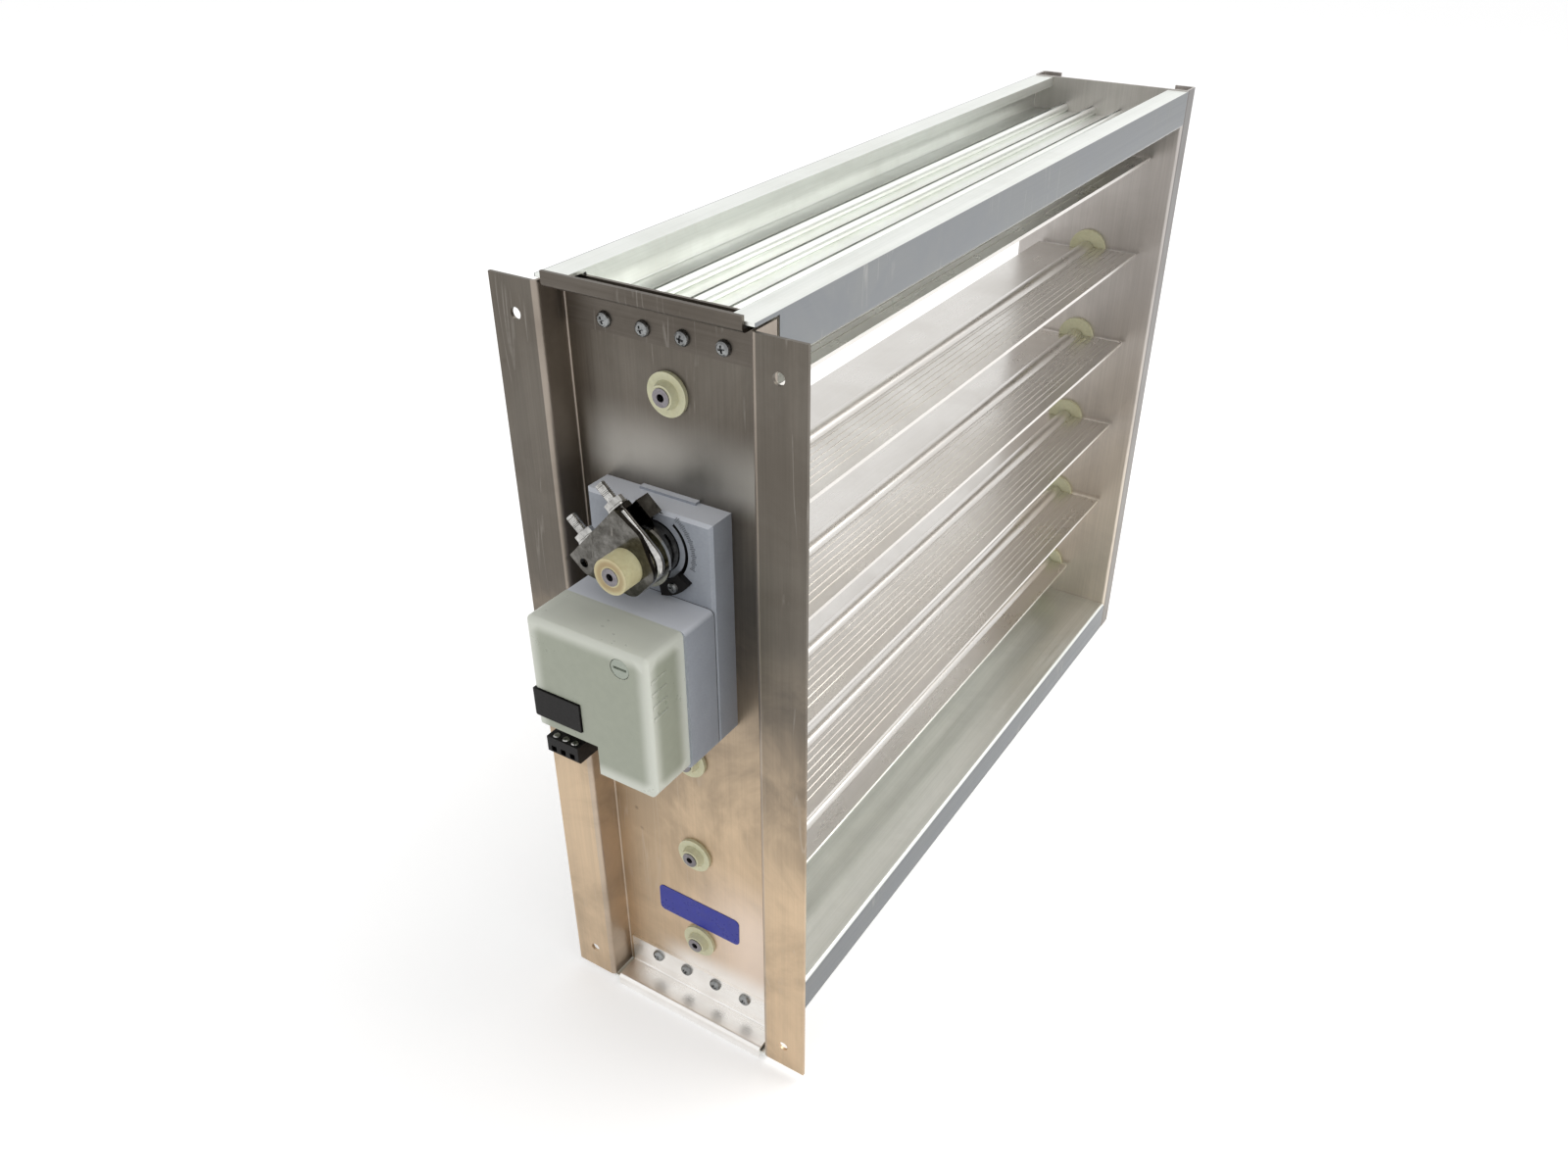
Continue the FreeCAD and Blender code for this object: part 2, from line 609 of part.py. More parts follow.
def make_bracket(label, side):
    bracket = new_body(label)
    strip_end = (floor_half - S.strip_below) * side
    shelf_in = (floor_half + S.shelf_rise) * side
    shelf_out = (floor_half + S.shelf_rise + S.sheet_thk) * side
    lip_end = (floor_half + S.shelf_rise + S.bracket_lip) * side
    strip_front = web_front - S.sheet_thk
    pad(bracket, "X", -bracket_half, bracket_half, lambda sk: polygon(sk, [
        (web_front, strip_end), (web_front, shelf_out), (S.sheet_thk, shelf_out),
        (S.sheet_thk, lip_end), (0, lip_end), (0, shelf_in),
        (strip_front, shelf_in), (strip_front, strip_end)]))
    soften(bracket, "Fillet", [("X", [
        (strip_front, shelf_in), (S.sheet_thk, shelf_out)])], S.bend_in)
    soften(bracket, "Fillet", [("X", [(web_front, shelf_out), (0, shelf_in)])], bend_out)
    row = pocket(bracket, "Y", strip_front, web_front,
                 lambda sk: circle(sk, -port_half, port_z * side, S.port_hole_r + S.screw_clear))
    repeat(bracket, row, "H_Axis", S.port_step * 3, 4)
    return bracket


make_bracket("top_bracket", 1)
make_bracket("bottom_bracket", -1)


# rows of four pan-head screws, one turned and repeated at the port spacing

def make_screws(label, z, y, away):
    row = new_body(label)
    row.AllowCompound = True
    head = S.screw_head_t * -away
    sketch = new_sketch(row, "XY_Plane")
    polygon(sketch, [
        (-port_half, head), (-port_half + S.screw_head_r * 0.5, head * 0.94),
        (-port_half + S.screw_head_r * 0.86, head * 0.66),
        (-port_half + S.screw_head_r, head * 0.28),
        (-port_half + S.screw_head_r, 0), (-port_half + screw_r, 0),
        (-port_half + screw_r, S.screw_reach * away), (-port_half, S.screw_reach * away)])
    turned = row.newObject("PartDesign::Revolution", label + "_turned")
    turned.Profile = sketch
    turned.ReferenceAxis = (sketch, ["Edge8"])
    turned.Angle = 360
    row.Tip = turned
    repeat(row, turned, "H_Axis", S.port_step * 3, 4)
    place(row, y=y, z=z)
    return row


make_screws("near_top_screws", port_z, web_front - S.sheet_thk, 1)
make_screws("near_bottom_screws", -port_z, web_front - S.sheet_thk, 1)
make_screws("far_top_screws", port_z, far_back, -1)
make_screws("far_bottom_screws", -port_z, far_back, -1)


# bushings: a disc and a tapered hub outside the web, a flange inside the duct

def make_bushing(label, outer_face, way, z):
    """way is +1 where the duct lies toward +Y of the web, and -1 where it lies toward -Y."""
    bushing = new_body(label)
    bore = S.axle_r + S.run_gap
    disc = -S.bush_disc_t * way
    hub = -(S.bush_disc_t + S.bush_hub_len) * way
    inside = S.sheet_thk * way
    flange = (S.sheet_thk + S.bush_flange_t) * way
    revolve(bushing, [
        (bore, hub), (S.bush_tip_r, hub), (S.bush_hub_r, disc), (S.bush_disc_r, disc),
        (S.bush_disc_r, 0), (S.bush_body_r, 0), (S.bush_body_r, inside),
        (S.bush_flange_r, inside), (S.bush_flange_r, flange), (bore, flange)])
    place(bushing, y=outer_face, z=z)
    return bushing


for k in range(AXIS_COUNT):
    make_bushing("near_bushing_%d" % (k + 1), web_front, 1, axis_z[k])
for k in range(AXIS_COUNT):
    make_bushing("far_bushing_%d" % (k + 1), far_back, -1, axis_z[k])


# blades: two plates set either side of the axis so that closed blades lap, a boss
# round the axle, a bead along each free edge and fine grooves along the plates

plate_in = S.lap_gap / 2
plate_out = plate_in + S.blade_thk
half_chord = (S.blade_pitch + S.blade_lap) / 2
boss_r = S.axle_r + S.boss_wall
blade_low = web_back + S.blade_end_gap
blade_high = far_web - S.blade_end_gap


def make_blade(label, z, right, left, right_grooves, left_grooves):
    blade = new_body(label)
    pad(blade, "Y", blade_low, blade_high, lambda sk: circle(sk, 0, 0, boss_r))
    for side, reach, grooved in ((1, right, right_grooves), (-1, left, left_grooves)):
        pad(blade, "Y", blade_low, blade_high, lambda sk: polygon(sk, [
            (0, plate_in * side), (reach * side, plate_in * side),
            (reach * side, (plate_out + S.bead_rise) * side),
            ((reach - S.bead_w) * side, (plate_out + S.bead_rise) * side),
            ((reach - S.bead_w) * side, plate_out * side), (0, plate_out * side)]))
    pocket(blade, "Y", blade_low, blade_high, lambda sk: circle(sk, 0, 0, S.axle_r))
    for side, grooved in ((1, right_grooves), (-1, left_grooves)):
        if not grooved:
            continue
        near = S.groove_first * side
        groove = pocket(blade, "Y", blade_low, blade_high, lambda sk: box_outline(
            sk, near, near + S.groove_w * side,
            (plate_out - S.groove_cut) * side, (plate_out + S.bead_rise) * side))
        repeat(blade, groove, "H_Axis", S.groove_step * 5, 6, side < 0)
    place(blade, z=z)
    return blade


top_reach = S.top_gap - S.top_trim
bottom_reach = S.bottom_gap - S.bottom_trim
make_blade("blade_1", axis_z[0], half_chord, top_reach, True, False)
for k in range(1, AXIS_COUNT - 1):
    make_blade("blade_%d" % (k + 1), axis_z[k], half_chord, half_chord, True, True)
make_blade("blade_6", axis_z[5], bottom_reach, half_chord, False, True)


# axles: tubes from the near bushing to the crank; the second one carries the drive

crank_low = far_back + S.bush_disc_t + S.bush_hub_len + S.side_gap
crank_high = crank_low + S.crank_t
link_low = crank_high + S.side_gap
link_high = link_low + S.link_t
pin_low = link_high + S.side_gap
pin_high = pin_low + S.pin_head_t
axle_near = web_front - S.bush_disc_t - S.bush_hub_len - S.axle_proud
axle_drive = S.sleeve_front - S.shaft_proud
for k in range(AXIS_COUNT):
    axle = new_body("axle_%d" % (k + 1))
    start = axle_drive if k == 1 else axle_near
    revolve(axle, [
        (S.axle_bore_r, start), (S.axle_r, start),
        (S.axle_r, crank_high), (S.axle_bore_r, crank_high)])
    place(axle, z=axis_z[k])


# cranks outside the far web, each with its riveted pin, and the bar that links them

def make_crank(label, z):
    crank = new_body(label)
    pad(crank, "Y", crank_low, crank_high, lambda sk: circle(sk, 0, 0, S.crank_hub_r))
    pad(crank, "Y", crank_low, crank_high, lambda sk: circle(sk, S.crank_r, 0, S.crank_tip_r))
    pad(crank, "Y", crank_low, crank_high, lambda sk: polygon(sk, [
        (0, -S.crank_hub_r), (S.crank_r, -S.crank_tip_r),
        (S.crank_r, S.crank_tip_r), (0, S.crank_hub_r)]))
    pocket(crank, "Y", crank_low, crank_high, lambda sk: circle(sk, 0, 0, S.axle_r))
    pad(crank, "Y", crank_high, pin_low, lambda sk: circle(sk, S.crank_r, 0, S.pin_r))
    pad(crank, "Y", pin_low, pin_high, lambda sk: circle(sk, S.crank_r, 0, S.pin_head_r))
    place(crank, z=z, turn=S.crank_lead, about=V(0, -1, 0))
    return crank


for k in range(AXIS_COUNT):
    make_crank("crank_%d" % (k + 1), axis_z[k])

link = new_body("link_bar")
link_x = S.crank_r * cosine(S.crank_lead)
link_rise = S.crank_r * sine(S.crank_lead)
span = S.blade_pitch * (AXIS_COUNT - 1)
pad(link, "Y", link_low, link_high, lambda sk: box_outline(
    sk, -S.link_half, S.link_half, -span - S.link_half, S.link_half))
soften(link, "Fillet", [("Y", [
    (S.link_half, S.link_half), (-S.link_half, S.link_half),
    (S.link_half, -span - S.link_half), (-S.link_half, -span - S.link_half)])],
    S.link_half * 0.9)
hole = pocket(link, "Y", link_low, link_high, lambda sk: circle(sk, 0, 0, S.pin_r + S.pin_gap))
repeat(link, hole, "V_Axis", span, AXIS_COUNT, True)
place(link, x=link_x, z=axis_top + link_rise)


# actuator base: the flat upper half round the drive hub and the back of the lower half

act_top = drive_z + S.act_top_over
act_low = drive_z - S.act_drop
act_step = drive_z - S.act_step_drop
base = new_body("actuator_base")
pad(base, "Y", S.act_face, web_front, lambda sk: box_outline(
    sk, S.act_left, S.act_right, act_low, act_top))
soften(base, "Chamfer", [("X", [(S.act_face, act_top)])], S.act_slope)
soften(base, "Chamfer", [("Z", [(S.act_left, S.act_face), (S.act_right, S.act_face)])],
       S.act_slope_side)
soften(base, "Fillet", [("Y", [
    (S.act_left, act_low), (S.act_right, act_low)])], S.act_corner)
pocket(base, "Y", S.act_face, web_front, lambda sk: circle(sk, 0, drive_z, S.hub_r + S.hub_gap))
pocket(base, "Y", axle_near - S.bush_room, web_front,
       lambda sk: circle(sk, 0, axis_z[2], S.bush_disc_r + S.bush_room))
pad(base, "Y", web_front - S.act_corner, web_front, lambda sk: box_outline(
    sk, S.act_left * 0.45, S.act_right * 0.45, act_top - S.act_corner, act_top + S.act_tab_rise))

# travel slot: its outline is a piece of a ring about the drive axis
slot_sketch = new_sketch(base, "XZ_Plane", -S.act_face)
slot_sketch.AttachmentOffset = FreeCAD.Placement(
    V(0, drive_z.value, -S.act_face.value), FreeCAD.Rotation())
slot_sketch.setExpression("AttachmentOffset.Base.y", drive_z.text)
ring_sector(slot_sketch, S.slot_in_r, S.slot_out_r, -S.slot_down, S.slot_up, "DistanceY")
slot_cut = base.newObject("PartDesign::Pocket", "travel_slot")
slot_cut.Profile = slot_sketch
slot_cut.setExpression("Length", S.slot_sink.text)
base.Tip = slot_cut


# middle housing: the deep lower half, with the posts that carry the circuit board

mid = new_body("actuator_mid_housing")
pad(mid, "Y", S.act_seam, S.act_face, lambda sk: box_outline(
    sk, S.act_left, S.act_right, act_low, act_step))
soften(mid, "Fillet", [("Y", [
    (S.act_left, act_low), (S.act_right, act_low),
    (S.act_left, act_step), (S.act_right, act_step)])], S.act_corner)
cover_low = act_low + S.cover_rise
board_x0 = S.act_left + S.cover_wall + S.board_edge
board_x1 = S.cover_right - S.cover_wall - S.board_edge
board_z0 = act_low + S.board_low
board_z1 = act_step - S.cover_wall - S.board_edge
board_back = S.act_seam - S.board_stand
board_front = board_back - S.board_t


def post_outline(sk):
    for x in (board_x0 + S.post_r * 2, board_x1 - S.post_r * 2):
        for z in (board_z0 + S.post_r * 2, board_z1 - S.post_r * 2):
            circle(sk, x, z, S.post_r)


pad(mid, "Y", board_back, S.act_seam, post_outline)
board = new_body("circuit_board")
pad(board, "Y", board_front, board_back, lambda sk: box_outline(
    sk, board_x0, board_x1, board_z0, board_z1))


# translucent cover: an open-backed shell, notched at the lower left for the terminals

cover = new_body("actuator_cover")
notch_z = act_low + S.notch_high
pad(cover, "Y", S.act_front, S.act_seam, lambda sk: polygon(sk, [
    (S.act_left, act_step), (S.cover_right, act_step), (S.cover_right, cover_low),
    (S.notch_right, cover_low), (S.notch_right, notch_z), (S.act_left, notch_z)]))
soften(cover, "Fillet", [("Y", [
    (S.cover_right, act_step), (S.cover_right, cover_low), (S.act_left, act_step)]),
    ("X", [(S.act_front, act_step)]),
    ("Z", [(S.cover_right, S.act_front), (S.act_left, S.act_front)])], S.cover_round)
pocket(cover, "Y", S.act_front + S.cover_wall, S.act_seam, lambda sk: polygon(sk, [
    (S.act_left + S.cover_wall, act_step - S.cover_wall),
    (S.cover_right - S.cover_wall, act_step - S.cover_wall),
    (S.cover_right - S.cover_wall, cover_low + S.cover_wall),
    (S.notch_right + S.cover_wall, cover_low + S.cover_wall),
    (S.notch_right + S.cover_wall, notch_z + S.cover_wall),
    (S.act_left + S.cover_wall, notch_z + S.cover_wall)]))
dial_z = drive_z - S.dial_drop
pocket(cover, "Y", S.act_front, S.act_front + S.cover_wall,
       lambda sk: circle(sk, S.dial_x, dial_z, S.dial_r + S.dial_gap))
button_z0 = act_low + S.button_low
button_z1 = act_low + S.button_high
button_front = S.act_front - S.button_proud
button_back = button_front + S.button_deep
slot_back = button_back + S.button_travel + S.button_gap
pocket(cover, "Y", S.act_front, slot_back, lambda sk: box_outline(
    sk, S.button_left, S.button_right + S.button_gap,
    button_z0 - S.button_gap, button_z1 + S.button_gap))
rib_z = act_step - S.rib_top_drop
rib = pad(cover, "Y", S.act_front + S.cover_round, S.act_front + S.cover_round * 5,
          lambda sk: box_outline(sk, S.cover_right - S.cover_wall / 2, S.cover_right + S.rib_w / 2,
                                 rib_z, rib_z + S.rib_w))
repeat(cover, rib, "V_Axis", S.rib_step * 3, 4, True)


# direction dial: a slotted disc on a stem that stands on the circuit board

dial = new_body("direction_dial")
dial_front = S.act_front + S.dial_set_in
revolve(dial, [
    (0, dial_front), (S.dial_r, dial_front), (S.dial_r, dial_front + S.dial_t),
    (S.dial_stem_r, dial_front + S.dial_t), (S.dial_stem_r, board_front), (0, board_front)])
pocket(dial, "Y", dial_front, dial_front + S.dial_slot_cut, lambda sk: box_outline(
    sk, S.dial_r * -0.75, S.dial_r * 0.75, -S.dial_slot_w / 2, S.dial_slot_w / 2))
place(dial, x=S.dial_x, z=dial_z)


# release button: a bar in the cover's slot, with rounded ends

button = new_body("release_button")
pad(button, "Y", button_front, button_back, lambda sk: box_outline(
    sk, S.button_left, S.button_right, button_z0, button_z1))
soften(button, "Fillet", [("Y", [
    (S.button_left, button_z0), (S.button_left, button_z1)]),
    ("Z", [(S.button_left, button_front)])], S.cover_round)


# terminal header in the notch, and the plug that pulls out of it

header = new_body("terminal_header")
header_front = S.act_seam - S.header_deep
header_z0 = act_low + S.header_low
header_z1 = act_low + S.header_high
plug_z0 = act_low + S.plug_low
plug_z1 = act_low + S.plug_high
pad(header, "Y", header_front, S.act_seam, lambda sk: box_outline(
    sk, S.plug_left, S.header_right, header_z0, header_z1))
plug = new_body("terminal_plug")
pad(plug, "X", S.plug_left, S.plug_right, lambda sk: polygon(sk, [
    (header_front, plug_z0), (header_front, plug_z1), (S.plug_front, plug_z1),
    (S.plug_front, plug_z0 + S.rib_w), (S.plug_front + S.rib_w, plug_z0)]))
plug_mid_x = (S.plug_left + S.plug_right) / 2


def wire_entries(sk):
    for n in (-1, 0, 1):
        x = plug_mid_x + S.wire_step * n
        box_outline(sk, x - S.wire_slot / 2, x + S.wire_slot / 2,
                    plug_z0 + S.rib_w * 1.5, plug_z0 + S.rib_w * 1.5 + S.wire_slot)


def terminal_wells(sk):
    for n in (-1, 0, 1):
        circle(sk, plug_mid_x + S.wire_step * n, S.plug_front + S.term_r * 1.3, S.term_r)


pocket(plug, "Y", S.plug_front, S.plug_front + S.wire_slot * 1.5, wire_entries)
pocket(plug, "Z", plug_z1 - S.term_cut, plug_z1, terminal_wells)


# drive sleeve over the second axle, and the actuator's turning hub with its saddle

sleeve = new_body("drive_sleeve")
revolve(sleeve, [
    (S.axle_r, S.sleeve_front), (S.sleeve_r, S.sleeve_front),
    (S.sleeve_r, axle_near - S.side_gap + S.axle_proud),
    (S.axle_r, axle_near - S.side_gap + S.axle_proud)])
place(sleeve, z=drive_z)

hub = new_body("drive_hub")
revolve(hub, [
    (S.sleeve_r + S.sleeve_fit, S.hub_front), (S.hub_r, S.hub_front),
    (S.hub_r, S.hub_back), (S.sleeve_r + S.sleeve_fit, S.hub_back)])
pad(hub, "Y", S.saddle_front, S.saddle_back, lambda sk: box_outline(
    sk, -S.saddle_half, S.saddle_half, S.saddle_in, S.saddle_out))
leg_hole = S.bolt_r + S.bolt_hole_gap


def leg_holes(sk):
    circle(sk, S.bolt_half, S.bolt_plane, leg_hole)
    circle(sk, -S.bolt_half, S.bolt_plane, leg_hole)


place(hub, z=drive_z, turn=S.clamp_tilt, about=V(0, -1, 0))

ring = new_body("hub_ring")
revolve(ring, [
    (S.hub_r, S.ring_back - S.ring_t), (S.ring_r, S.ring_back - S.ring_t),
    (S.ring_r, S.ring_back), (S.hub_r, S.ring_back)])
place(ring, z=drive_z)


# clamp: a jaw plate round the sleeve with a flange, drawn up by a U-bolt and two nuts

jaw = new_body("clamp_bracket")
pad(jaw, "Y", S.jaw_front, S.jaw_front + S.jaw_t, lambda sk: polygon(sk, [
    (S.jaw_left, S.jaw_out), (S.jaw_left, S.jaw_heel), (-S.jaw_nose, -S.jaw_in),
    (S.jaw_nose, -S.jaw_in), (S.jaw_wide, S.jaw_shoulder), (S.jaw_right, S.jaw_out)]))
soften(jaw, "Fillet", [("Y", [
    (S.jaw_left, S.jaw_heel), (-S.jaw_nose, -S.jaw_in),
    (S.jaw_nose, -S.jaw_in), (S.jaw_wide, S.jaw_shoulder)])], S.jaw_round)
pad(jaw, "Z", S.jaw_out - S.jaw_t, S.jaw_out, lambda sk: box_outline(
    sk, S.jaw_left, S.jaw_right, S.jaw_front, S.jaw_back))
pocket(jaw, "Y", S.jaw_front, S.jaw_front + S.jaw_t,
       lambda sk: circle(sk, S.jaw_hole_x, S.jaw_hole_z, S.jaw_hole_r))
pocket(jaw, "Y", S.jaw_front, S.jaw_front + S.jaw_t,
       lambda sk: circle(sk, 0, 0, S.sleeve_r + S.sleeve_fit))
pocket(jaw, "Z", S.jaw_out - S.jaw_t, S.jaw_out, leg_holes)
place(jaw, z=drive_z, turn=S.clamp_tilt, about=V(0, -1, 0))

bolt = new_body("u_bolt")
bolt_floor = -(S.sleeve_r + S.bolt_r)
path = new_sketch(bolt, "XZ_Plane", -S.bolt_plane)
corner = bolt_floor + S.bolt_bend
flat = S.bolt_half - S.bolt_bend
path.addGeometry([
    Part.LineSegment(V(S.bolt_half.value, S.bolt_reach.value, 0),
                     V(S.bolt_half.value, corner.value, 0)),
    Part.ArcOfCircle(Part.Circle(V(flat.value, corner.value, 0), V(0, 0, 1), S.bolt_bend.value),
                     math.radians(270), math.radians(360)),
    Part.LineSegment(V(flat.value, bolt_floor.value, 0), V(-flat.value, bolt_floor.value, 0)),
    Part.ArcOfCircle(Part.Circle(V(-flat.value, corner.value, 0), V(0, 0, 1), S.bolt_bend.value),
                     math.radians(180), math.radians(270)),
    Part.LineSegment(V(-S.bolt_half.value, corner.value, 0),
                     V(-S.bolt_half.value, S.bolt_reach.value, 0))], False)
for a, a_end, b, b_end in ((0, 2, 1, 2), (1, 1, 2, 1), (2, 2, 3, 2), (3, 1, 4, 1)):
    path.addConstraint(Sketcher.Constraint("Coincident", a, a_end, b, b_end))
hold(path, "DistanceX", 0, 1, S.bolt_half)
hold(path, "DistanceY", 0, 1, S.bolt_reach)
hold(path, "DistanceX", 0, 2, S.bolt_half)
hold(path, "DistanceX", 1, 3, flat)
hold(path, "DistanceY", 1, 3, corner)
hold(path, "DistanceY", 0, 2, corner)
hold(path, "DistanceX", 2, 1, flat)
hold(path, "DistanceY", 2, 2, bolt_floor)
hold(path, "DistanceX", 2, 2, -flat)
hold(path, "DistanceX", 3, 3, -flat)
hold(path, "DistanceY", 3, 3, corner)
hold(path, "DistanceY", 4, 1, corner)
hold(path, "DistanceX", 4, 2, -S.bolt_half)
hold(path, "DistanceY", 4, 2, S.bolt_reach)
section = new_sketch(bolt, "XY_Plane", S.bolt_reach)
circle(section, S.bolt_half, S.bolt_plane, S.bolt_r)
pipe = bolt.newObject("PartDesign::AdditivePipe", "u_bolt_rod")
pipe.Profile = section
pipe.Spine = (path, ["Edge1", "Edge2", "Edge3", "Edge4", "Edge5"])
bolt.Tip = pipe
place(bolt, z=drive_z, turn=S.clamp_tilt, about=V(0, -1, 0))

nut_corner = S.nut_half / cosine(dim(30.0))
for number, side in ((1, -1), (2, 1)):
    nut = new_body("clamp_nut_%d" % number)
    pad(nut, "Z", S.jaw_out, S.jaw_out + S.nut_t, lambda sk: polygon(sk, [
        (S.bolt_half * side + nut_corner * cosine(dim(60.0 * n)),
         S.bolt_plane + nut_corner * sine(dim(60.0 * n))) for n in range(6)]))
    pocket(nut, "Z", S.jaw_out, S.jaw_out + S.nut_t,
           lambda sk: circle(sk, S.bolt_half * side, S.bolt_plane, S.bolt_r))
    place(nut, z=drive_z, turn=S.clamp_tilt, about=V(0, -1, 0))


# end stop: a sector that is set along the travel scale and held by its screw

stop = new_body("end_stop_tab")
stop_sketch = new_sketch(stop, "XZ_Plane", -(S.act_face - S.stop_t))
ring_sector(stop_sketch, S.stop_in_r, S.stop_out_r,
            -S.stop_mid - S.stop_half, -S.stop_mid + S.stop_half, "DistanceX")
stop_pad = stop.newObject("PartDesign::Pad", "end_stop_pad")
stop_pad.Profile = stop_sketch
stop_pad.Reversed = True
stop_pad.setExpression("Length", S.stop_t.text)
stop.Tip = stop_pad
place(stop, z=drive_z)
stop_screw = new_body("end_stop_screw")
stop_top = S.act_face - S.stop_t
revolve(stop_screw, [
    (0, stop_top - S.stop_head_t), (S.stop_head_r * 0.6, stop_top - S.stop_head_t),
    (S.stop_head_r, stop_top - S.stop_head_t * 0.5), (S.stop_head_r, stop_top), (0, stop_top)])
place(stop_screw, x=S.stop_screw_r * cosine(S.stop_mid),
      z=drive_z - S.stop_screw_r * sine(S.stop_mid))


# blank label on the web

label = new_body("label_plate")
pad(label, "Y", web_front - S.label_t, web_front, lambda sk: box_outline(
    sk, S.label_w / -2, S.label_w / 2, S.label_tall / -2, S.label_tall / 2))
place(label, z=axis_z[5] + S.label_up, turn=S.label_tilt, about=V(0, 1, 0))


# every object is sound before anything is written

doc.recompute()
faults = []
for item in doc.Objects:
    states = [str(state) for state in item.State]
    if "Invalid" in states or "Error" in states:
        faults.append("%s: %s" % (item.Name, ", ".join(states)))
for body in bodies:
    if body.Shape.isNull() or not body.Shape.isValid():
        faults.append("%s: no valid shape" % body.Label)
if faults:
    raise SystemExit("faults:\n" + "\n".join(faults))
for body in bodies:
    body.Shape.exportStep("parts/%s.step" % body.Label)
    solids = len(body.Shape.Solids)
    print("%-24s %d solid  %.1f mm3" % (body.Label, solids, body.Shape.Volume))
print(len(bodies), "sub-parts")
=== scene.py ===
# %% [markdown]
# # A motorized zone damper
# A zone damper is a short piece of rectangular duct with a row of turning blades in it.
# A small geared motor clamps onto one blade's shaft and a hidden link bar turns the others.
# The rigid shapes come from the CAD frame. This notebook gives them their finishes, adds the
# small details that are too fine for the solids, and sets up the floor, light and camera.

import math

import bmesh
import bpy
from mathutils import Matrix, Vector


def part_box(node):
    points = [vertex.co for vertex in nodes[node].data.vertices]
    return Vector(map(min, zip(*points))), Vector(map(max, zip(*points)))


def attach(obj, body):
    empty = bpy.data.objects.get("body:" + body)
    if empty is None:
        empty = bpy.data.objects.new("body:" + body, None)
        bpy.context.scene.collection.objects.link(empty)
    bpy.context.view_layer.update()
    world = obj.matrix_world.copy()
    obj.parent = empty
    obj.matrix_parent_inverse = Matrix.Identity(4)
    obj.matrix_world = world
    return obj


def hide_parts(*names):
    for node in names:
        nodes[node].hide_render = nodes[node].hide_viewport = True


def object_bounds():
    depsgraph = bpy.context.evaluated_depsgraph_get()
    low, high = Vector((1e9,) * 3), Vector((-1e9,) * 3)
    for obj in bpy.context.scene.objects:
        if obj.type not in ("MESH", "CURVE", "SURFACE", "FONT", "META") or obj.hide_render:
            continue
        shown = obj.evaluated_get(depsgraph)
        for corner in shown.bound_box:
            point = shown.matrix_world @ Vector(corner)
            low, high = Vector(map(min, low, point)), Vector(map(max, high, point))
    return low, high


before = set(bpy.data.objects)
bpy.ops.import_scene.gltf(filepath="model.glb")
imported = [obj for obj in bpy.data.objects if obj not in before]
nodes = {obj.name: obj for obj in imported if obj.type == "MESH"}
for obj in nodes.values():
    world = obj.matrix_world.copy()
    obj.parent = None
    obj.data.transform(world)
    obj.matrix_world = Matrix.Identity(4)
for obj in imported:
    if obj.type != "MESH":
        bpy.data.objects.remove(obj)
size_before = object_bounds()

# %% [markdown]
# ## Camera
# The photograph is taken from above the actuator's end, looking along the duct frame.
# The viewpoint was worked out from the corners of the frame, so it is written as a place and
# three directions. A target and a tracking constraint would do as well, but the plain matrix
# keeps the small roll of the hand-held shot.

# %% Camera
PHOTO_WIDTH, PHOTO_HEIGHT = 1600, 1200
FOCAL_PIXELS = 1276.76
CENTRE_PIXEL = (815.41, 642.18)
camera_right = Vector((0.84691588, 0.53171835, 0.00301404))
camera_down = Vector((0.29789201, -0.46976896, -0.83100992))
camera_forward = Vector((-0.44044732, 0.70469335, -0.55624944))
camera_place = Vector((0.3021, -0.3646, 0.3706))

photo_camera = bpy.data.cameras.new("photo camera")
photo_camera.sensor_width = 36
photo_camera.lens = 36 * FOCAL_PIXELS / PHOTO_WIDTH
photo_camera.shift_x = (PHOTO_WIDTH / 2 - CENTRE_PIXEL[0]) / PHOTO_WIDTH
photo_camera.shift_y = (CENTRE_PIXEL[1] - PHOTO_HEIGHT / 2) / PHOTO_WIDTH
photo_camera.clip_start = 0.01
photo_camera.clip_end = 60
camera = bpy.data.objects.new("photo camera", photo_camera)
turn = Matrix((camera_right, -camera_down, -camera_forward)).transposed().to_4x4()
camera.matrix_world = Matrix.Translation(camera_place) @ turn
bpy.context.scene.collection.objects.link(camera)
bpy.context.scene.camera = camera
print("lens", round(photo_camera.lens, 2), "mm")

# %% [markdown]
# ## Shorthand for shader trees
# Every finish below is a small tree of shader nodes. One helper adds a node, sets its options
# and plugs its inputs, whether they are given as numbers or as another node's output.
# Colours are written as the 0-255 numbers a picture shows and turned into linear light.

# %% Shader shorthand


def picture(red, green, blue):
    """A colour as a picture shows it, in linear light."""
    linear = []
    for part in (red, green, blue):
        part = part / 255
        linear.append(part / 12.92 if part <= 0.04045 else ((part + 0.055) / 1.055) ** 2.4)
    return (*linear, 1)


def put(tree, kind, inputs=None, **options):
    """Adds a node of that kind to the tree, with its options and inputs set."""
    made = tree.nodes.new(kind)
    for key, value in options.items():
        setattr(made, key, value)
    for key, value in (inputs or {}).items():
        socket = made.inputs[key]
        if isinstance(value, bpy.types.NodeSocket):
            tree.links.new(value, socket)
        else:
            socket.default_value = value
    return made


def blend_colours(tree, factor, first, second):
    """The colour between first and second, by factor."""
    mix = put(tree, "ShaderNodeMix", data_type="RGBA", blend_type="MIX")
    for index, value in ((0, factor), (6, first), (7, second)):
        if isinstance(value, bpy.types.NodeSocket):
            tree.links.new(value, mix.inputs[index])
        else:
            mix.inputs[index].default_value = value
    return mix.outputs[2]


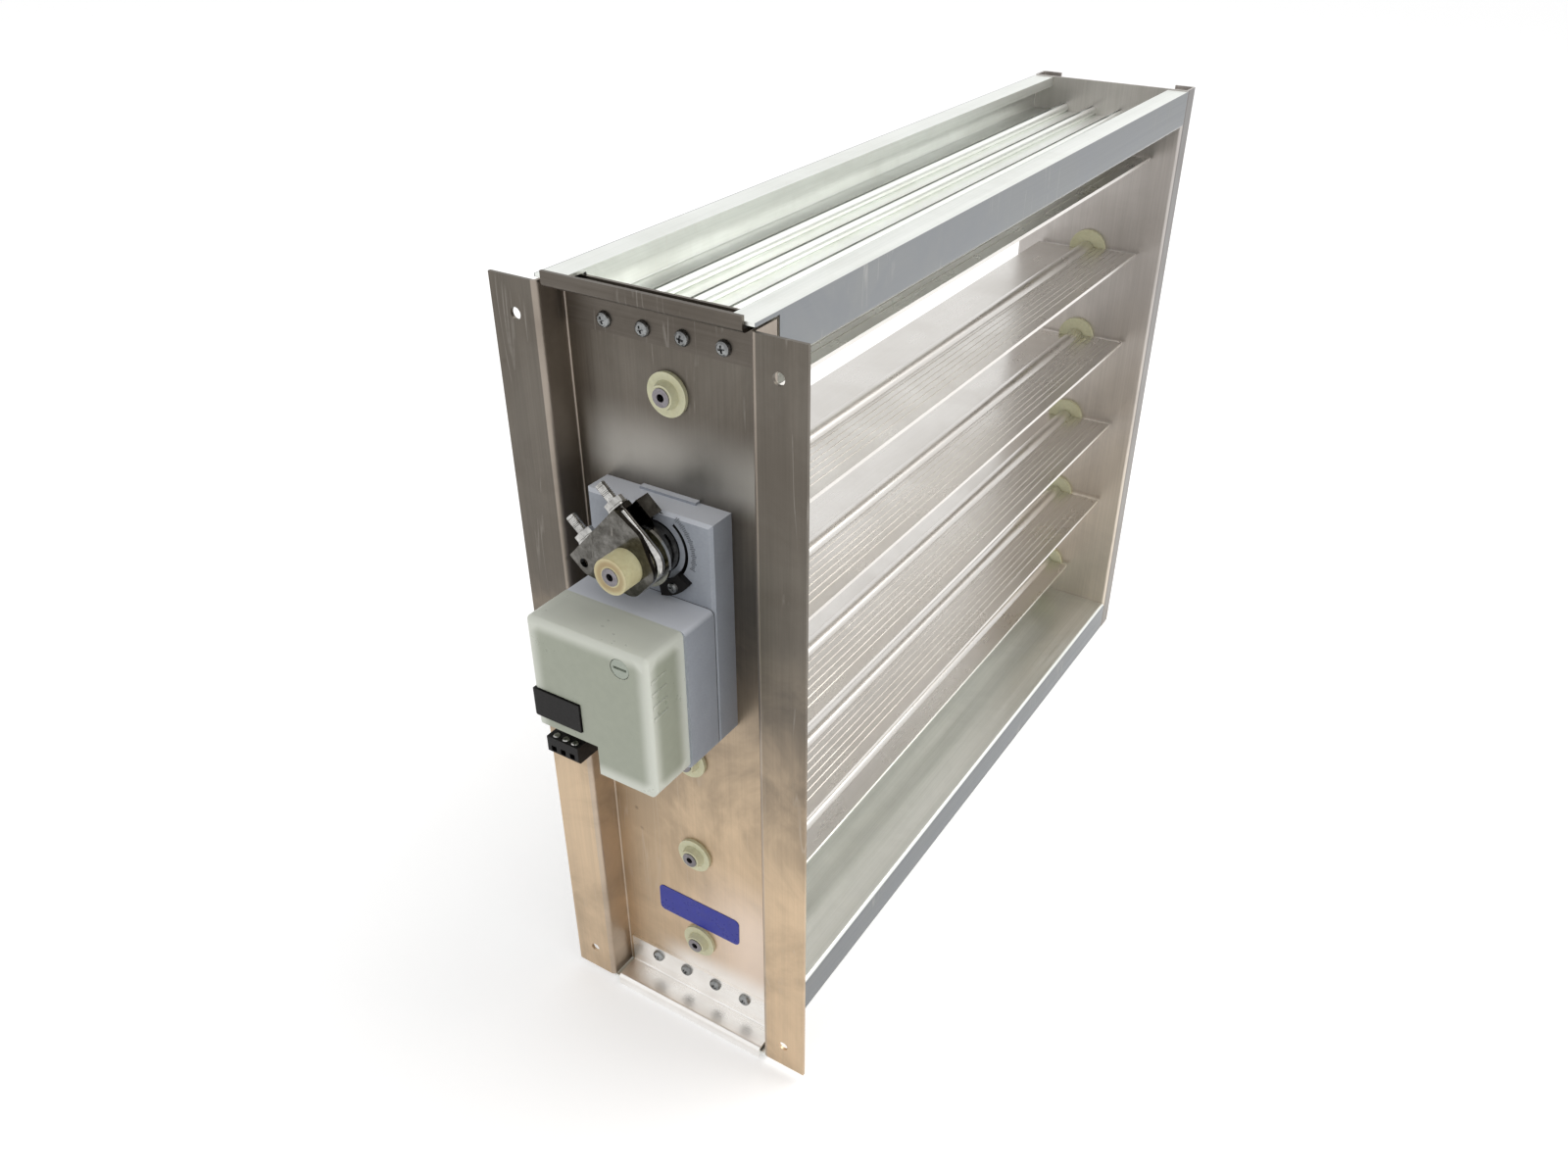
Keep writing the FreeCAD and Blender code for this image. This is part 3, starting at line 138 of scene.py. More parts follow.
def spread(tree, value, low, high, to_low, to_high, smooth=False):
    """value from low to high is spread over to_low to to_high, and held at the ends."""
    kind = "SMOOTHSTEP" if smooth else "LINEAR"
    made = put(tree, "ShaderNodeMapRange", {
        "Value": value, "From Min": low, "From Max": high,
        "To Min": to_low, "To Max": to_high}, interpolation_type=kind)
    return made.outputs["Result"]


def sum_up(tree, how, first, second):
    """One step of arithmetic on two values."""
    return put(tree, "ShaderNodeMath", {0: first, 1: second}, operation=how).outputs[0]


def add_to(tree, value, times, more):
    """value times a number, plus more."""
    return put(tree, "ShaderNodeMath", {0: value, 1: times, 2: more},
               operation="MULTIPLY_ADD").outputs[0]


def lay_over(material, mask, tone):
    """Lays a tone over a finished material's colour where the mask is 1."""
    tree = material.node_tree
    shader = tree.nodes["Principled BSDF"]
    before = shader.inputs["Base Color"].links[0].from_socket
    colour = blend_colours(tree, mask, before, picture(*tone))
    tree.links.new(colour, shader.inputs["Base Color"])


def new_group(name, inputs, outputs):
    """An empty shader group with named inputs (name, kind, value) and named outputs."""
    group = bpy.data.node_groups.new(name, "ShaderNodeTree")
    for label, kind, value in inputs:
        socket = group.interface.new_socket(label, in_out="INPUT", socket_type=kind)
        if value is not None:
            socket.default_value = value
    for label, kind in outputs:
        group.interface.new_socket(label, in_out="OUTPUT", socket_type=kind)
    source = group.nodes.new("NodeGroupInput")
    sink = group.nodes.new("NodeGroupOutput")
    return group, source, sink


# %% [markdown]
# ## Effects that several finishes share
# Rolled sheet has a grain: fine lines along the rolling direction. Noise that is squeezed
# hard across one axis looks like it, and costs nothing to make. A wave texture would be too
# regular. Handling leaves blotches and a few hairline scratches, which are a low noise with
# its middle cut off and a thin band of a stretched, tilted noise.

# %% Grain group
grain_group, source, sink = new_group(
    "rolled grain",
    [("Vector", "NodeSocketVector", None), ("Squeeze", "NodeSocketVector", (1, 1, 1))],
    [("Grain", "NodeSocketFloat")])
squeezed = put(grain_group, "ShaderNodeVectorMath", {
    0: source.outputs["Vector"], 1: source.outputs["Squeeze"]}, operation="MULTIPLY")
fine = put(grain_group, "ShaderNodeTexNoise", {
    "Vector": squeezed.outputs[0], "Scale": 1.0, "Detail": 4.0, "Roughness": 0.7})
broad = put(grain_group, "ShaderNodeTexNoise", {
    "Vector": squeezed.outputs[0], "Scale": 0.13, "Detail": 2.0, "Roughness": 0.5})
fine_share = sum_up(grain_group, "MULTIPLY", fine.outputs["Fac"], 0.55)
total = add_to(grain_group, broad.outputs["Fac"], 0.45, fine_share)
grain_group.links.new(total, sink.inputs["Grain"])

# %% Handling group
handling_group, source, sink = new_group(
    "handling marks",
    [("Vector", "NodeSocketVector", None), ("Blotch Scale", "NodeSocketFloat", 18.0),
     ("Scratch Scale", "NodeSocketFloat", 60.0)],
    [("Blotches", "NodeSocketFloat"), ("Scratches", "NodeSocketFloat"),
     ("Spots", "NodeSocketFloat")])
blotch = put(handling_group, "ShaderNodeTexNoise", {
    "Vector": source.outputs["Vector"], "Scale": source.outputs["Blotch Scale"],
    "Detail": 5.0, "Roughness": 0.62, "Distortion": 0.6})
handling_group.links.new(
    spread(handling_group, blotch.outputs["Fac"], 0.36, 0.68, 0.0, 1.0, True),
    sink.inputs["Blotches"])
tilted = put(handling_group, "ShaderNodeMapping", {
    "Vector": source.outputs["Vector"], "Rotation": (0.5, 0.9, 0.35),
    "Scale": (1.0, 1.0, 0.06)})
scratch = put(handling_group, "ShaderNodeTexNoise", {
    "Vector": tilted.outputs[0], "Scale": source.outputs["Scratch Scale"],
    "Detail": 3.0, "Roughness": 0.55})
near_half_value = sum_up(handling_group, "SUBTRACT", scratch.outputs["Fac"], 0.5)
away = put(handling_group, "ShaderNodeMath", {0: near_half_value}, operation="ABSOLUTE")
lines = spread(handling_group, away.outputs[0], 0.0, 0.012, 1.0, 0.0)
lines_here = sum_up(
    handling_group, "MULTIPLY", lines,
    spread(handling_group, blotch.outputs["Fac"], 0.52, 0.6, 0.0, 1.0))
handling_group.links.new(lines_here, sink.inputs["Scratches"])
spot = put(handling_group, "ShaderNodeTexVoronoi", {
    "Vector": source.outputs["Vector"], "Scale": 95.0, "Randomness": 1.0})
spots_here = sum_up(
    handling_group, "MULTIPLY",
    spread(handling_group, spot.outputs["Distance"], 0.05, 0.16, 1.0, 0.0),
    spread(handling_group, blotch.outputs["Fac"], 0.58, 0.64, 0.0, 1.0))
handling_group.links.new(spots_here, sink.inputs["Spots"])
print("shared effects:", grain_group.name, "and", handling_group.name)

# %% [markdown]
# ## Metal finishes
# All the sheet and extrusions are bare aluminium, but each has its own rolling direction, tone
# and gloss. One recipe serves them: two tones mixed by the grain, a warm painted reflection
# that takes over towards the foot of the part, darker handling marks, and grain in the
# roughness and bump as well, so that a reflection breaks up along it. A plain metal with one
# roughness would look like plastic foil.

# %% Metal recipe


def bare_metal(name, dark, light, squeeze, gloss, bump=0.12, foot=None, foot_span=(0.02, -0.12),
               marks=0.35, mark_tone=(60, 54, 48), spots=0.0, blotch_scale=18.0,
               side_shading_band=None, side_shading_tone=None, side_shading_mix=0.6):
    """A metal with rolled grain. gloss is its lowest and highest roughness. The side band is a
    range of distances from the middle plane; on the faces that lie there the side tone is
    painted by the side share, as painted shade where it is darker and painted light where it is
    paler."""
    material = bpy.data.materials.new(name)
    material.use_nodes = True
    tree = material.node_tree
    shader = tree.nodes["Principled BSDF"]
    place = put(tree, "ShaderNodeTexCoord").outputs["Object"]
    grain = put(tree, "ShaderNodeGroup", {"Vector": place, "Squeeze": squeeze},
                node_tree=grain_group)
    handling = put(tree, "ShaderNodeGroup", {"Vector": place, "Blotch Scale": blotch_scale},
                   node_tree=handling_group)
    streak = spread(tree, grain.outputs["Grain"], 0.36, 0.64, 0.0, 1.0)
    colour = blend_colours(tree, streak, picture(*dark), picture(*light))
    # Painted reflection: a warm tone that takes over towards the foot of the part stands in for
    # the floor the metal mirrors.
    if foot:
        height = put(tree, "ShaderNodeSeparateXYZ", {0: place}).outputs["Z"]
        wobble = add_to(tree, handling.outputs["Blotches"], 0.03, height)
        foot_reflection_share = spread(tree, wobble, foot_span[0], foot_span[1], 0.0, 1.0, True)
        foot_reflection_dark = picture(*[part * 0.93 for part in foot])
        foot_reflection_colour = blend_colours(tree, streak, foot_reflection_dark, picture(*foot))
        colour = blend_colours(tree, foot_reflection_share, colour, foot_reflection_colour)
    # Painted shade where the side tone is darker, and painted light where it is paler, on the
    # faces in the side band.
    if side_shading_band:
        sideways = put(tree, "ShaderNodeMath", {
            0: put(tree, "ShaderNodeSeparateXYZ", {0: place}).outputs["X"]},
            operation="ABSOLUTE").outputs[0]
        side_shading_mask = sum_up(
            tree, "MULTIPLY",
            spread(tree, sideways, side_shading_band[0], side_shading_band[0] + 0.0004, 0.0, 1.0),
            spread(tree, sideways, side_shading_band[1], side_shading_band[1] + 0.0004, 1.0, 0.0))
        side_shaded = blend_colours(tree, side_shading_mix, colour, picture(*side_shading_tone))
        colour = blend_colours(tree, side_shading_mask, colour, side_shaded)
    stain = sum_up(tree, "MULTIPLY", handling.outputs["Blotches"], marks)
    colour = blend_colours(tree, stain, colour, picture(*mark_tone))
    if spots:
        dots = sum_up(tree, "MULTIPLY", handling.outputs["Spots"], spots)
        colour = blend_colours(tree, dots, colour, picture(*mark_tone))
    hairlines = sum_up(tree, "MULTIPLY", handling.outputs["Scratches"], 0.16)
    colour = blend_colours(tree, hairlines, colour, picture(225, 220, 212))
    tree.links.new(colour, shader.inputs["Base Color"])
    shader.inputs["Metallic"].default_value = 1.0
    rough = add_to(tree, handling.outputs["Blotches"], 0.08,
                   spread(tree, streak, 0.0, 1.0, gloss[0], gloss[1]))
    tree.links.new(rough, shader.inputs["Roughness"])
    relief = add_to(tree, handling.outputs["Scratches"], -0.4, streak)
    bumped = put(tree, "ShaderNodeBump", {
        "Height": relief, "Strength": bump, "Distance": 0.0004})
    tree.links.new(bumped.outputs["Normal"], shader.inputs["Normal"])
    return material


# %% [markdown]
# The end plates are rolled along their length, so their grain runs up and down. The near plate
# is dull and brownish at the top, partly its own tone and partly painted shade, and carries a
# painted warm reflection at its foot. The rails and blades are drawn through a die along the
# shaft direction and carry fine lines that way. The outer sides of the rails and of the far
# plate are tinted darker as painted shade, because the even sky here gives them less contrast
# than they have in the photograph. The near plate's leg faces are tinted paler as painted
# light.

# %% Aluminium finishes
OUTER_SIDE = (0.0532, 1.0)
UP_AND_DOWN = (900, 900, 14)
ALONG_SHAFT = (900, 8, 900)

# Near plate: its dark top tone is partly painted shade, its warm foot a painted reflection and
# its paler leg faces painted light.
near_plate_finish = bare_metal(
    "dull rolled sheet with painted shade", (102, 97, 90), (116, 110, 102), UP_AND_DOWN, (0.34, 0.44), bump=0.05,
    foot=(214, 190, 160), foot_span=(0.085, -0.085), marks=0.26, mark_tone=(84, 75, 66),
    spots=0.5, side_shading_band=(0.0512, 0.0545), side_shading_tone=(184, 172, 160))
# Far plate: its darker outer sides are painted shade.
far_plate_finish = bare_metal(
    "clean rolled sheet", (178, 173, 169), (194, 189, 185), UP_AND_DOWN, (0.3, 0.4), bump=0.05,
    foot=(224, 213, 198), foot_span=(0.1, -0.14), marks=0.18, mark_tone=(140, 132, 124),
    side_shading_band=OUTER_SIDE, side_shading_tone=(104, 102, 102), side_shading_mix=0.8)
# Both brackets are the same sheet: the top bracket's dark tone is partly painted shade, and the
# bottom bracket's near-white tone is painted light.
top_bracket_finish = bare_metal(
    "dull bracket sheet with painted shade", (94, 88, 81), (110, 104, 97), (14, 900, 900), (0.34, 0.44),
    bump=0.05, marks=0.25, mark_tone=(70, 62, 54))
bottom_bracket_finish = bare_metal(
    "bracket sheet with painted light", (246, 243, 239), (253, 252, 250), (14, 900, 900), (0.24, 0.32),
    bump=0.04, marks=0.15, mark_tone=(170, 158, 146))
# Rails: their darker outer sides are painted shade.
rail_finish = bare_metal(
    "drawn rail", (228, 231, 226), (242, 244, 240), ALONG_SHAFT, (0.28, 0.38), bump=0.05,
    marks=0.16, mark_tone=(176, 176, 168), side_shading_band=OUTER_SIDE, side_shading_tone=(86, 90, 99),
    side_shading_mix=0.85)
blade_finish = bare_metal(
    "drawn blade", (220, 217, 212), (225, 222, 218), (420, 5, 420), (0.25, 0.29), bump=0.004,
    marks=0.14, mark_tone=(188, 182, 174))
print("aluminium finishes:", 6)

# %% [markdown]
# The near plate isn't one tone. A pale painted reflection lies on its web between the top shaft
# and the actuator, the right half of its foot is painted brighter than the left, and a painted
# glow lies just over the bright bracket. These tints are painted reflections: they stand in for
# what the plate mirrors in the photograph, because the sky here is even.

# %% Painted reflections on the near plate
tree = near_plate_finish.node_tree
parts = put(tree, "ShaderNodeSeparateXYZ", {
    0: put(tree, "ShaderNodeTexCoord").outputs["Object"]})
side, height = parts.outputs["X"], parts.outputs["Z"]
WEB_REFLECTION_TONE, FOOT_REFLECTION_TONE, BRACKET_REFLECTION_TONE = (165, 162, 156), (248, 232, 220), (253, 250, 246)
off_middle = put(tree, "ShaderNodeMath", {0: side}, operation="ABSOLUTE").outputs[0]
on_web = spread(tree, off_middle, 0.045, 0.05, 1.0, 0.0, True)
# Each patch is a painted reflection laid on the web.
for first, second, tone in (
        ((height, 0.112, 0.128, 0.0, 0.8), (height, 0.132, 0.158, 1.0, 0.0), WEB_REFLECTION_TONE),
        ((height, -0.09, -0.14, 0.0, 0.6), (side, -0.015, 0.035, 0.0, 1.0), FOOT_REFLECTION_TONE),
        ((height, -0.166, -0.186, 0.0, 0.9), (side, -0.035, -0.005, 0.0, 1.0), BRACKET_REFLECTION_TONE)):
    reflection_patch = sum_up(tree, "MULTIPLY", spread(tree, *first, True), spread(tree, *second, True))
    lay_over(near_plate_finish, sum_up(tree, "MULTIPLY", reflection_patch, on_web), tone)
print("painted reflections on", near_plate_finish.name)

# %% [markdown]
# Steel parts: the hollow axles are dull, the crank arms and link bar are plated, and the screws
# are plain zinc. The hub and the clamp's bracket are chromed steel, and their darker tone is a
# painted dark reflection. The U-bolt, its nuts, the hub's ring and the terminal screws are
# bright zinc and stand out from them. Small blotches of a darker tone make every one of them
# look used.

# %% Steel finishes
axle_finish = bare_metal(
    "hollow axle steel", (120, 116, 120), (158, 154, 158), ALONG_SHAFT, (0.3, 0.45),
    marks=0.3, mark_tone=(70, 64, 60))
linkage_finish = bare_metal(
    "plated link steel", (158, 156, 148), (192, 190, 180), (300, 300, 300), (0.26, 0.38),
    marks=0.3, mark_tone=(110, 104, 88), blotch_scale=40.0)
screw_finish = bare_metal(
    "zinc screw", (120, 122, 122), (170, 172, 172), (700, 700, 700), (0.2, 0.34),
    marks=0.4, mark_tone=(84, 82, 84), blotch_scale=120.0)
# The dark tones here are a painted dark reflection, as chrome mirroring dark surroundings.
clamp_finish = bare_metal(
    "chromed steel with painted dark reflection", (64, 62, 57), (128, 126, 122), (260, 260, 260), (0.08, 0.16),
    bump=0.05, marks=0.5, mark_tone=(52, 49, 44), blotch_scale=140.0)
bolt_finish = bare_metal(
    "bright zinc", (156, 155, 152), (214, 213, 210), (420, 420, 420), (0.08, 0.16), bump=0.04,
    marks=0.4, mark_tone=(92, 90, 86), blotch_scale=140.0)
print("steel finishes:", 5)

# %% [markdown]
# ## Plastic finishes
# The bushings and sleeve are natural nylon: cream, waxy, a little light goes into it. The
# housings are moulded with a fine spark-eroded texture. The cover is a clear but milky plastic;
# seen from outside it looks grey-green. Faces that look up get a paler tone as painted light
# from above: light from above is stronger in the photograph than in the sky here.

# %% Plastic recipe


def moulded(name, tone, other_tone, rough, texture=900.0, texture_depth=0.25, wear=0.15,
            wear_tone=(40, 38, 36), blotch_scale=30.0, seam=None, top_light_share=0.0,
            top_light_tone=(232, 235, 242)):
    """A moulded plastic. seam is the Y of a parting line, drawn as a dark groove. The last two
    arguments paint a paler tone by a share on the faces that look up: painted light from above."""
    material = bpy.data.materials.new(name)
    material.use_nodes = True
    tree = material.node_tree
    shader = tree.nodes["Principled BSDF"]
    place = put(tree, "ShaderNodeTexCoord").outputs["Object"]
    handling = put(tree, "ShaderNodeGroup", {
        "Vector": place, "Blotch Scale": blotch_scale, "Scratch Scale": 140.0},
        node_tree=handling_group)
    grit = put(tree, "ShaderNodeTexNoise", {
        "Vector": place, "Scale": texture, "Detail": 2.0, "Roughness": 0.6})
    colour = blend_colours(
        tree, spread(tree, grit.outputs["Fac"], 0.3, 0.7, 0.0, 1.0),
        picture(*tone), picture(*other_tone))
    colour = blend_colours(
        tree, sum_up(tree, "MULTIPLY", handling.outputs["Blotches"], wear),
        colour, picture(*wear_tone))
    # Painted light from above: faces that look up get the paler tone.
    if top_light_share:
        upward = put(tree, "ShaderNodeSeparateXYZ", {
            0: put(tree, "ShaderNodeTexCoord").outputs["Normal"]}).outputs["Z"]
        top_light_mask = spread(tree, upward, 0.3, 0.9, 0.0, top_light_share)
        colour = blend_colours(tree, top_light_mask, colour, picture(*top_light_tone))
    relief = grit.outputs["Fac"]
    if seam is not None:
        depth = put(tree, "ShaderNodeSeparateXYZ", {0: place}).outputs["Y"]
        off = put(tree, "ShaderNodeMath", {
            0: sum_up(tree, "SUBTRACT", depth, seam)}, operation="ABSOLUTE").outputs[0]
        groove = spread(tree, off, 0.00012, 0.0003, 1.0, 0.0)
        colour = blend_colours(tree, groove, colour, picture(52, 52, 54))
        relief = add_to(tree, groove, -2.0, relief)
    tree.links.new(colour, shader.inputs["Base Color"])
    roughness = add_to(tree, handling.outputs["Blotches"], 0.08,
                       spread(tree, grit.outputs["Fac"], 0.3, 0.7, rough[0], rough[1]))
    tree.links.new(roughness, shader.inputs["Roughness"])
    bumped = put(tree, "ShaderNodeBump", {
        "Height": relief, "Strength": texture_depth, "Distance": 0.0003})
    tree.links.new(bumped.outputs["Normal"], shader.inputs["Normal"])
    return material


# %% Plastic finishes
housing_finish = moulded(
    "moulded housing", (148, 153, 162), (157, 162, 170), (0.42, 0.56), wear=0.16,
    wear_tone=(112, 115, 120), top_light_share=0.7)
parted_housing_finish = moulded(
    "moulded housing with its parting line", (148, 153, 162), (157, 162, 170), (0.42, 0.56),
    wear=0.16, wear_tone=(112, 115, 120), seam=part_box("actuator_base")[0].y - 0.00018,
    top_light_share=0.7)
nylon_finish = moulded(
    "natural nylon", (192, 190, 158), (203, 201, 170), (0.34, 0.46), texture=500.0,
    texture_depth=0.12, wear=0.2, wear_tone=(178, 166, 128))
sleeve_finish = moulded(
    "drawn nylon sleeve", (204, 199, 158), (214, 209, 170), (0.34, 0.46), texture=500.0,
    texture_depth=0.12, wear=0.4, wear_tone=(176, 152, 104), blotch_scale=60.0)
black_finish = moulded(
    "black plastic", (12, 10, 10), (18, 16, 16), (0.4, 0.5), wear=0.15,
    wear_tone=(46, 43, 42))
dial_finish = moulded(
    "dial plastic", (150, 158, 146), (164, 171, 158), (0.36, 0.5), wear=0.15,
    wear_tone=(108, 112, 102))
board_finish = moulded(
    "circuit board", (48, 84, 62), (60, 98, 72), (0.4, 0.55), texture=300.0, wear=0.3,
    wear_tone=(120, 104, 60))
label_finish = moulded(
    "blue label", (16, 28, 136), (20, 33, 146), (0.22, 0.32), texture=400.0,
    texture_depth=0.01, wear=0.06, wear_tone=(26, 40, 148), blotch_scale=30.0)
black_finish.node_tree.nodes["Principled BSDF"].inputs["Specular IOR Level"].default_value = 0.2
for finish in (nylon_finish, sleeve_finish):
    waxy = finish.node_tree.nodes["Principled BSDF"]
    waxy.inputs["Subsurface Weight"].default_value = 0.12
    waxy.inputs["Subsurface Radius"].default_value = (0.0016, 0.0013, 0.0008)
print("plastic finishes:", 8)

# %% [markdown]
# The sleeve's sawn end has a browner ring between its bore and its rim. Distance from the
# shaft axis gives the ring, and only the outermost half millimetre of the sleeve shows it.

# %% Brown ring on the sleeve's end
SHAFT_Z = 0.099
tree = sleeve_finish.node_tree
place = put(tree, "ShaderNodeTexCoord").outputs["Object"]
parts = put(tree, "ShaderNodeSeparateXYZ", {0: place})
flat = put(tree, "ShaderNodeCombineXYZ", {
    "X": parts.outputs["X"], "Z": sum_up(tree, "SUBTRACT", parts.outputs["Z"], SHAFT_Z)})
from_axis = put(tree, "ShaderNodeVectorMath", {0: flat.outputs[0]},
                operation="LENGTH").outputs["Value"]
ring = sum_up(tree, "MULTIPLY", spread(tree, from_axis, 0.0045, 0.0052, 0.0, 1.0, True),
              spread(tree, from_axis, 0.0062, 0.0082, 1.0, 0.25, True))
sleeve_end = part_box("drive_sleeve")[0].y
at_end = spread(tree, parts.outputs["Y"], sleeve_end + 0.0008, sleeve_end + 0.0002, 0.0, 0.7)
lay_over(sleeve_finish, sum_up(tree, "MULTIPLY", ring, at_end), (146, 118, 76))
print("brown ring on", sleeve_finish.name)

# %% [markdown]
# The travel slot beside the hub is open to the dark inside of the actuator. The solid has only
# a shallow slot, so its walls and floor are painted black as painted shade for the deep
# opening: they lie behind the base's front, between two radii round the shaft.

# %% Painted shade in the travel slot
SLOT_INNER, SLOT_OUTER, SLOT_SOFT = 0.0151, 0.0175, 0.0002
base_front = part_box("actuator_base")[0].y
tree = housing_finish.node_tree
place = put(tree, "ShaderNodeTexCoord").outputs["Object"]
from_shaft = put(tree, "ShaderNodeVectorMath", {
    0: put(tree, "ShaderNodeVectorMath", {0: place, 1: (0, 0, SHAFT_Z)},
           operation="SUBTRACT").outputs[0], 1: (1, 0, 1)}, operation="MULTIPLY").outputs[0]
radius = put(tree, "ShaderNodeVectorMath", {0: from_shaft}, operation="LENGTH").outputs["Value"]
behind = spread(tree, put(tree, "ShaderNodeSeparateXYZ", {0: place}).outputs["Y"],
                base_front + SLOT_SOFT, base_front + 2 * SLOT_SOFT, 0.0, 1.0)
between = sum_up(tree, "MULTIPLY",
                 spread(tree, radius, SLOT_INNER, SLOT_INNER + SLOT_SOFT, 0.0, 1.0),
                 spread(tree, radius, SLOT_OUTER - SLOT_SOFT, SLOT_OUTER, 1.0, 0.0))
lay_over(housing_finish, sum_up(tree, "MULTIPLY", behind, between), (16, 15, 15))
print("painted shade in the slot on", housing_finish.name)

# %% [markdown]
# The milky cover lets light through its whole wall. Along its edges two walls meet and the
# plastic looks paler; on the flat middles the darker inside shows through. Distance from the
# box's edges gives that difference as painted light along the edges, and some transmission lets
# real light through as well. Full transmission would show the board far too clearly.

# %% Cover finish
EDGE_REACH, EDGE_RIM = 0.008, 0.0012
cover_finish = moulded(
    "milky clear cover", (158, 163, 147), (163, 168, 152), (0.26, 0.34), texture=260.0,
    texture_depth=0.02, wear=0.12, wear_tone=(158, 163, 146), blotch_scale=30.0, top_light_share=0.6,
    top_light_tone=(226, 228, 219))
tree = cover_finish.node_tree
cover_shader = tree.nodes["Principled BSDF"]
cover_shader.inputs["Transmission Weight"].default_value = 0.14
cover_shader.inputs["IOR"].default_value = 1.46
cover_low, cover_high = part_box("actuator_cover")
cover_middle, cover_half = (cover_low + cover_high) / 2, (cover_high - cover_low) / 2
parts = put(tree, "ShaderNodeSeparateXYZ", {
    0: put(tree, "ShaderNodeTexCoord").outputs["Object"]})
near_edge = []
for axis, index in (("X", 0), ("Y", 1), ("Z", 2)):
    from_middle = put(tree, "ShaderNodeMath", {
        0: sum_up(tree, "SUBTRACT", parts.outputs[axis], cover_middle[index])},
        operation="ABSOLUTE").outputs[0]
    near_edge.append(spread(
        tree, from_middle, cover_half[index] - EDGE_REACH, cover_half[index] - EDGE_RIM,
        0.0, 1.0, True))
edges = sum_up(tree, "ADD", sum_up(tree, "ADD", near_edge[0], near_edge[1]), near_edge[2])
# Painted light: a paler tone where two walls meet along the edges.
edge_light_mask = spread(tree, edges, 1.0, 2.0, 0.0, 1.0)
lay_over(cover_finish, edge_light_mask, (212, 215, 204))
print("cover lets through", round(cover_shader.inputs["Transmission Weight"].default_value, 2))

# %% [markdown]
# ## Dressing the solids
# Each solid piece keeps its shape and takes the finish of the real piece.

# %% Dress the solids


def dress(names, finish):
    """Gives each named solid that finish."""
    for name in names:
        piece = nodes[name]
        if not piece.material_slots:
            piece.data.materials.append(finish)
        for slot in piece.material_slots:
            slot.material = finish


def numbered(stem):
    """The names stem_1 to stem_6, one for each blade."""
    return [f"{stem}_{k + 1}" for k in range(6)]


dress(["near_end_plate"], near_plate_finish)
dress(["far_end_plate"], far_plate_finish)
dress(["top_bracket"], top_bracket_finish)
dress(["bottom_bracket"], bottom_bracket_finish)
dress(["top_rail", "bottom_rail"], rail_finish)
dress(numbered("blade"), blade_finish)
dress(numbered("axle"), axle_finish)
dress(numbered("crank") + ["link_bar"], linkage_finish)
dress(["near_top_screws", "near_bottom_screws", "far_top_screws", "far_bottom_screws",
       "end_stop_screw"], screw_finish)
dress(numbered("near_bushing") + numbered("far_bushing"), nylon_finish)
dress(["drive_sleeve"], sleeve_finish)
dress(["actuator_base"], housing_finish)
dress(["actuator_mid_housing"], parted_housing_finish)
dress(["actuator_cover"], cover_finish)
dress(["circuit_board"], board_finish)
dress(["direction_dial"], dial_finish)
dress(["release_button", "terminal_header", "terminal_plug", "end_stop_tab"], black_finish)
dress(["drive_hub", "clamp_bracket"], clamp_finish)
dress(["hub_ring", "u_bolt", "clamp_nut_1", "clamp_nut_2"], bolt_finish)
dress(["label_plate"], label_finish)
bare = [name for name, piece in nodes.items()
        if piece.material_slots and "finish" == piece.material_slots[0].material.name]
print("dressed", len(nodes), "solids, bare", len(bare))

# %% [markdown]
# ## Cross-recess screws
# Four pan-head screws hold each bracket and each rail end. On the real screw a punch leaves
# a tapered cross in the head. One screw is turned from its outline, the cross is cut with a
# Boolean, and Geometry Nodes set four of them in a row with each cross turned at random.
# Painting the cross on would look flat as soon as the light moves.

# %% Geometry Nodes shorthand


def new_node_tree(name, inputs):
    """A geometry tree with named inputs (name, kind, value), and its group nodes."""
    tree = bpy.data.node_groups.new(name, "GeometryNodeTree")
    tree.interface.new_socket("Geometry", in_out="INPUT", socket_type="NodeSocketGeometry")
    for label, kind, value in inputs:
        socket = tree.interface.new_socket(label, in_out="INPUT", socket_type=kind)
        socket.default_value = value
    tree.interface.new_socket("Geometry", in_out="OUTPUT", socket_type="NodeSocketGeometry")
    return tree, tree.nodes.new("NodeGroupInput"), tree.nodes.new("NodeGroupOutput")


def close_tree(tree, instances, finish, sink):
    """Ends a tree: real geometry, with its finish set."""
    real = put(tree, "GeometryNodeRealizeInstances", {"Geometry": instances})
    dressed = put(tree, "GeometryNodeSetMaterial", {"Geometry": real.outputs[0]})
    dressed.inputs["Material"].default_value = finish
    tree.links.new(dressed.outputs[0], sink.inputs["Geometry"])


def run_tree(name, start_mesh, tree, values, place, body):
    """Runs the tree on start_mesh, moves the result to its place and rides it on the body."""
    carrier = bpy.data.objects.new(name + " carrier", start_mesh)
    bpy.context.scene.collection.objects.link(carrier)
    modifier = carrier.modifiers.new("repeat", "NODES")
    modifier.node_group = tree
    for item in tree.interface.items_tree:
        if item.in_out == "INPUT" and item.name in values:
            modifier[item.identifier] = values[item.name]
    carrier.update_tag()
    bpy.context.view_layer.update()
    evaluated = carrier.evaluated_get(bpy.context.evaluated_depsgraph_get())
    mesh = bpy.data.meshes.new_from_object(evaluated)
    bpy.data.objects.remove(carrier)
    mesh.name = name
    finish = next(each for each in mesh.materials if each)
    mesh.materials.clear()
    mesh.materials.append(finish)
    for face in mesh.polygons:
        face.material_index = 0
    mesh.transform(place)
    return seat(name, mesh, body)


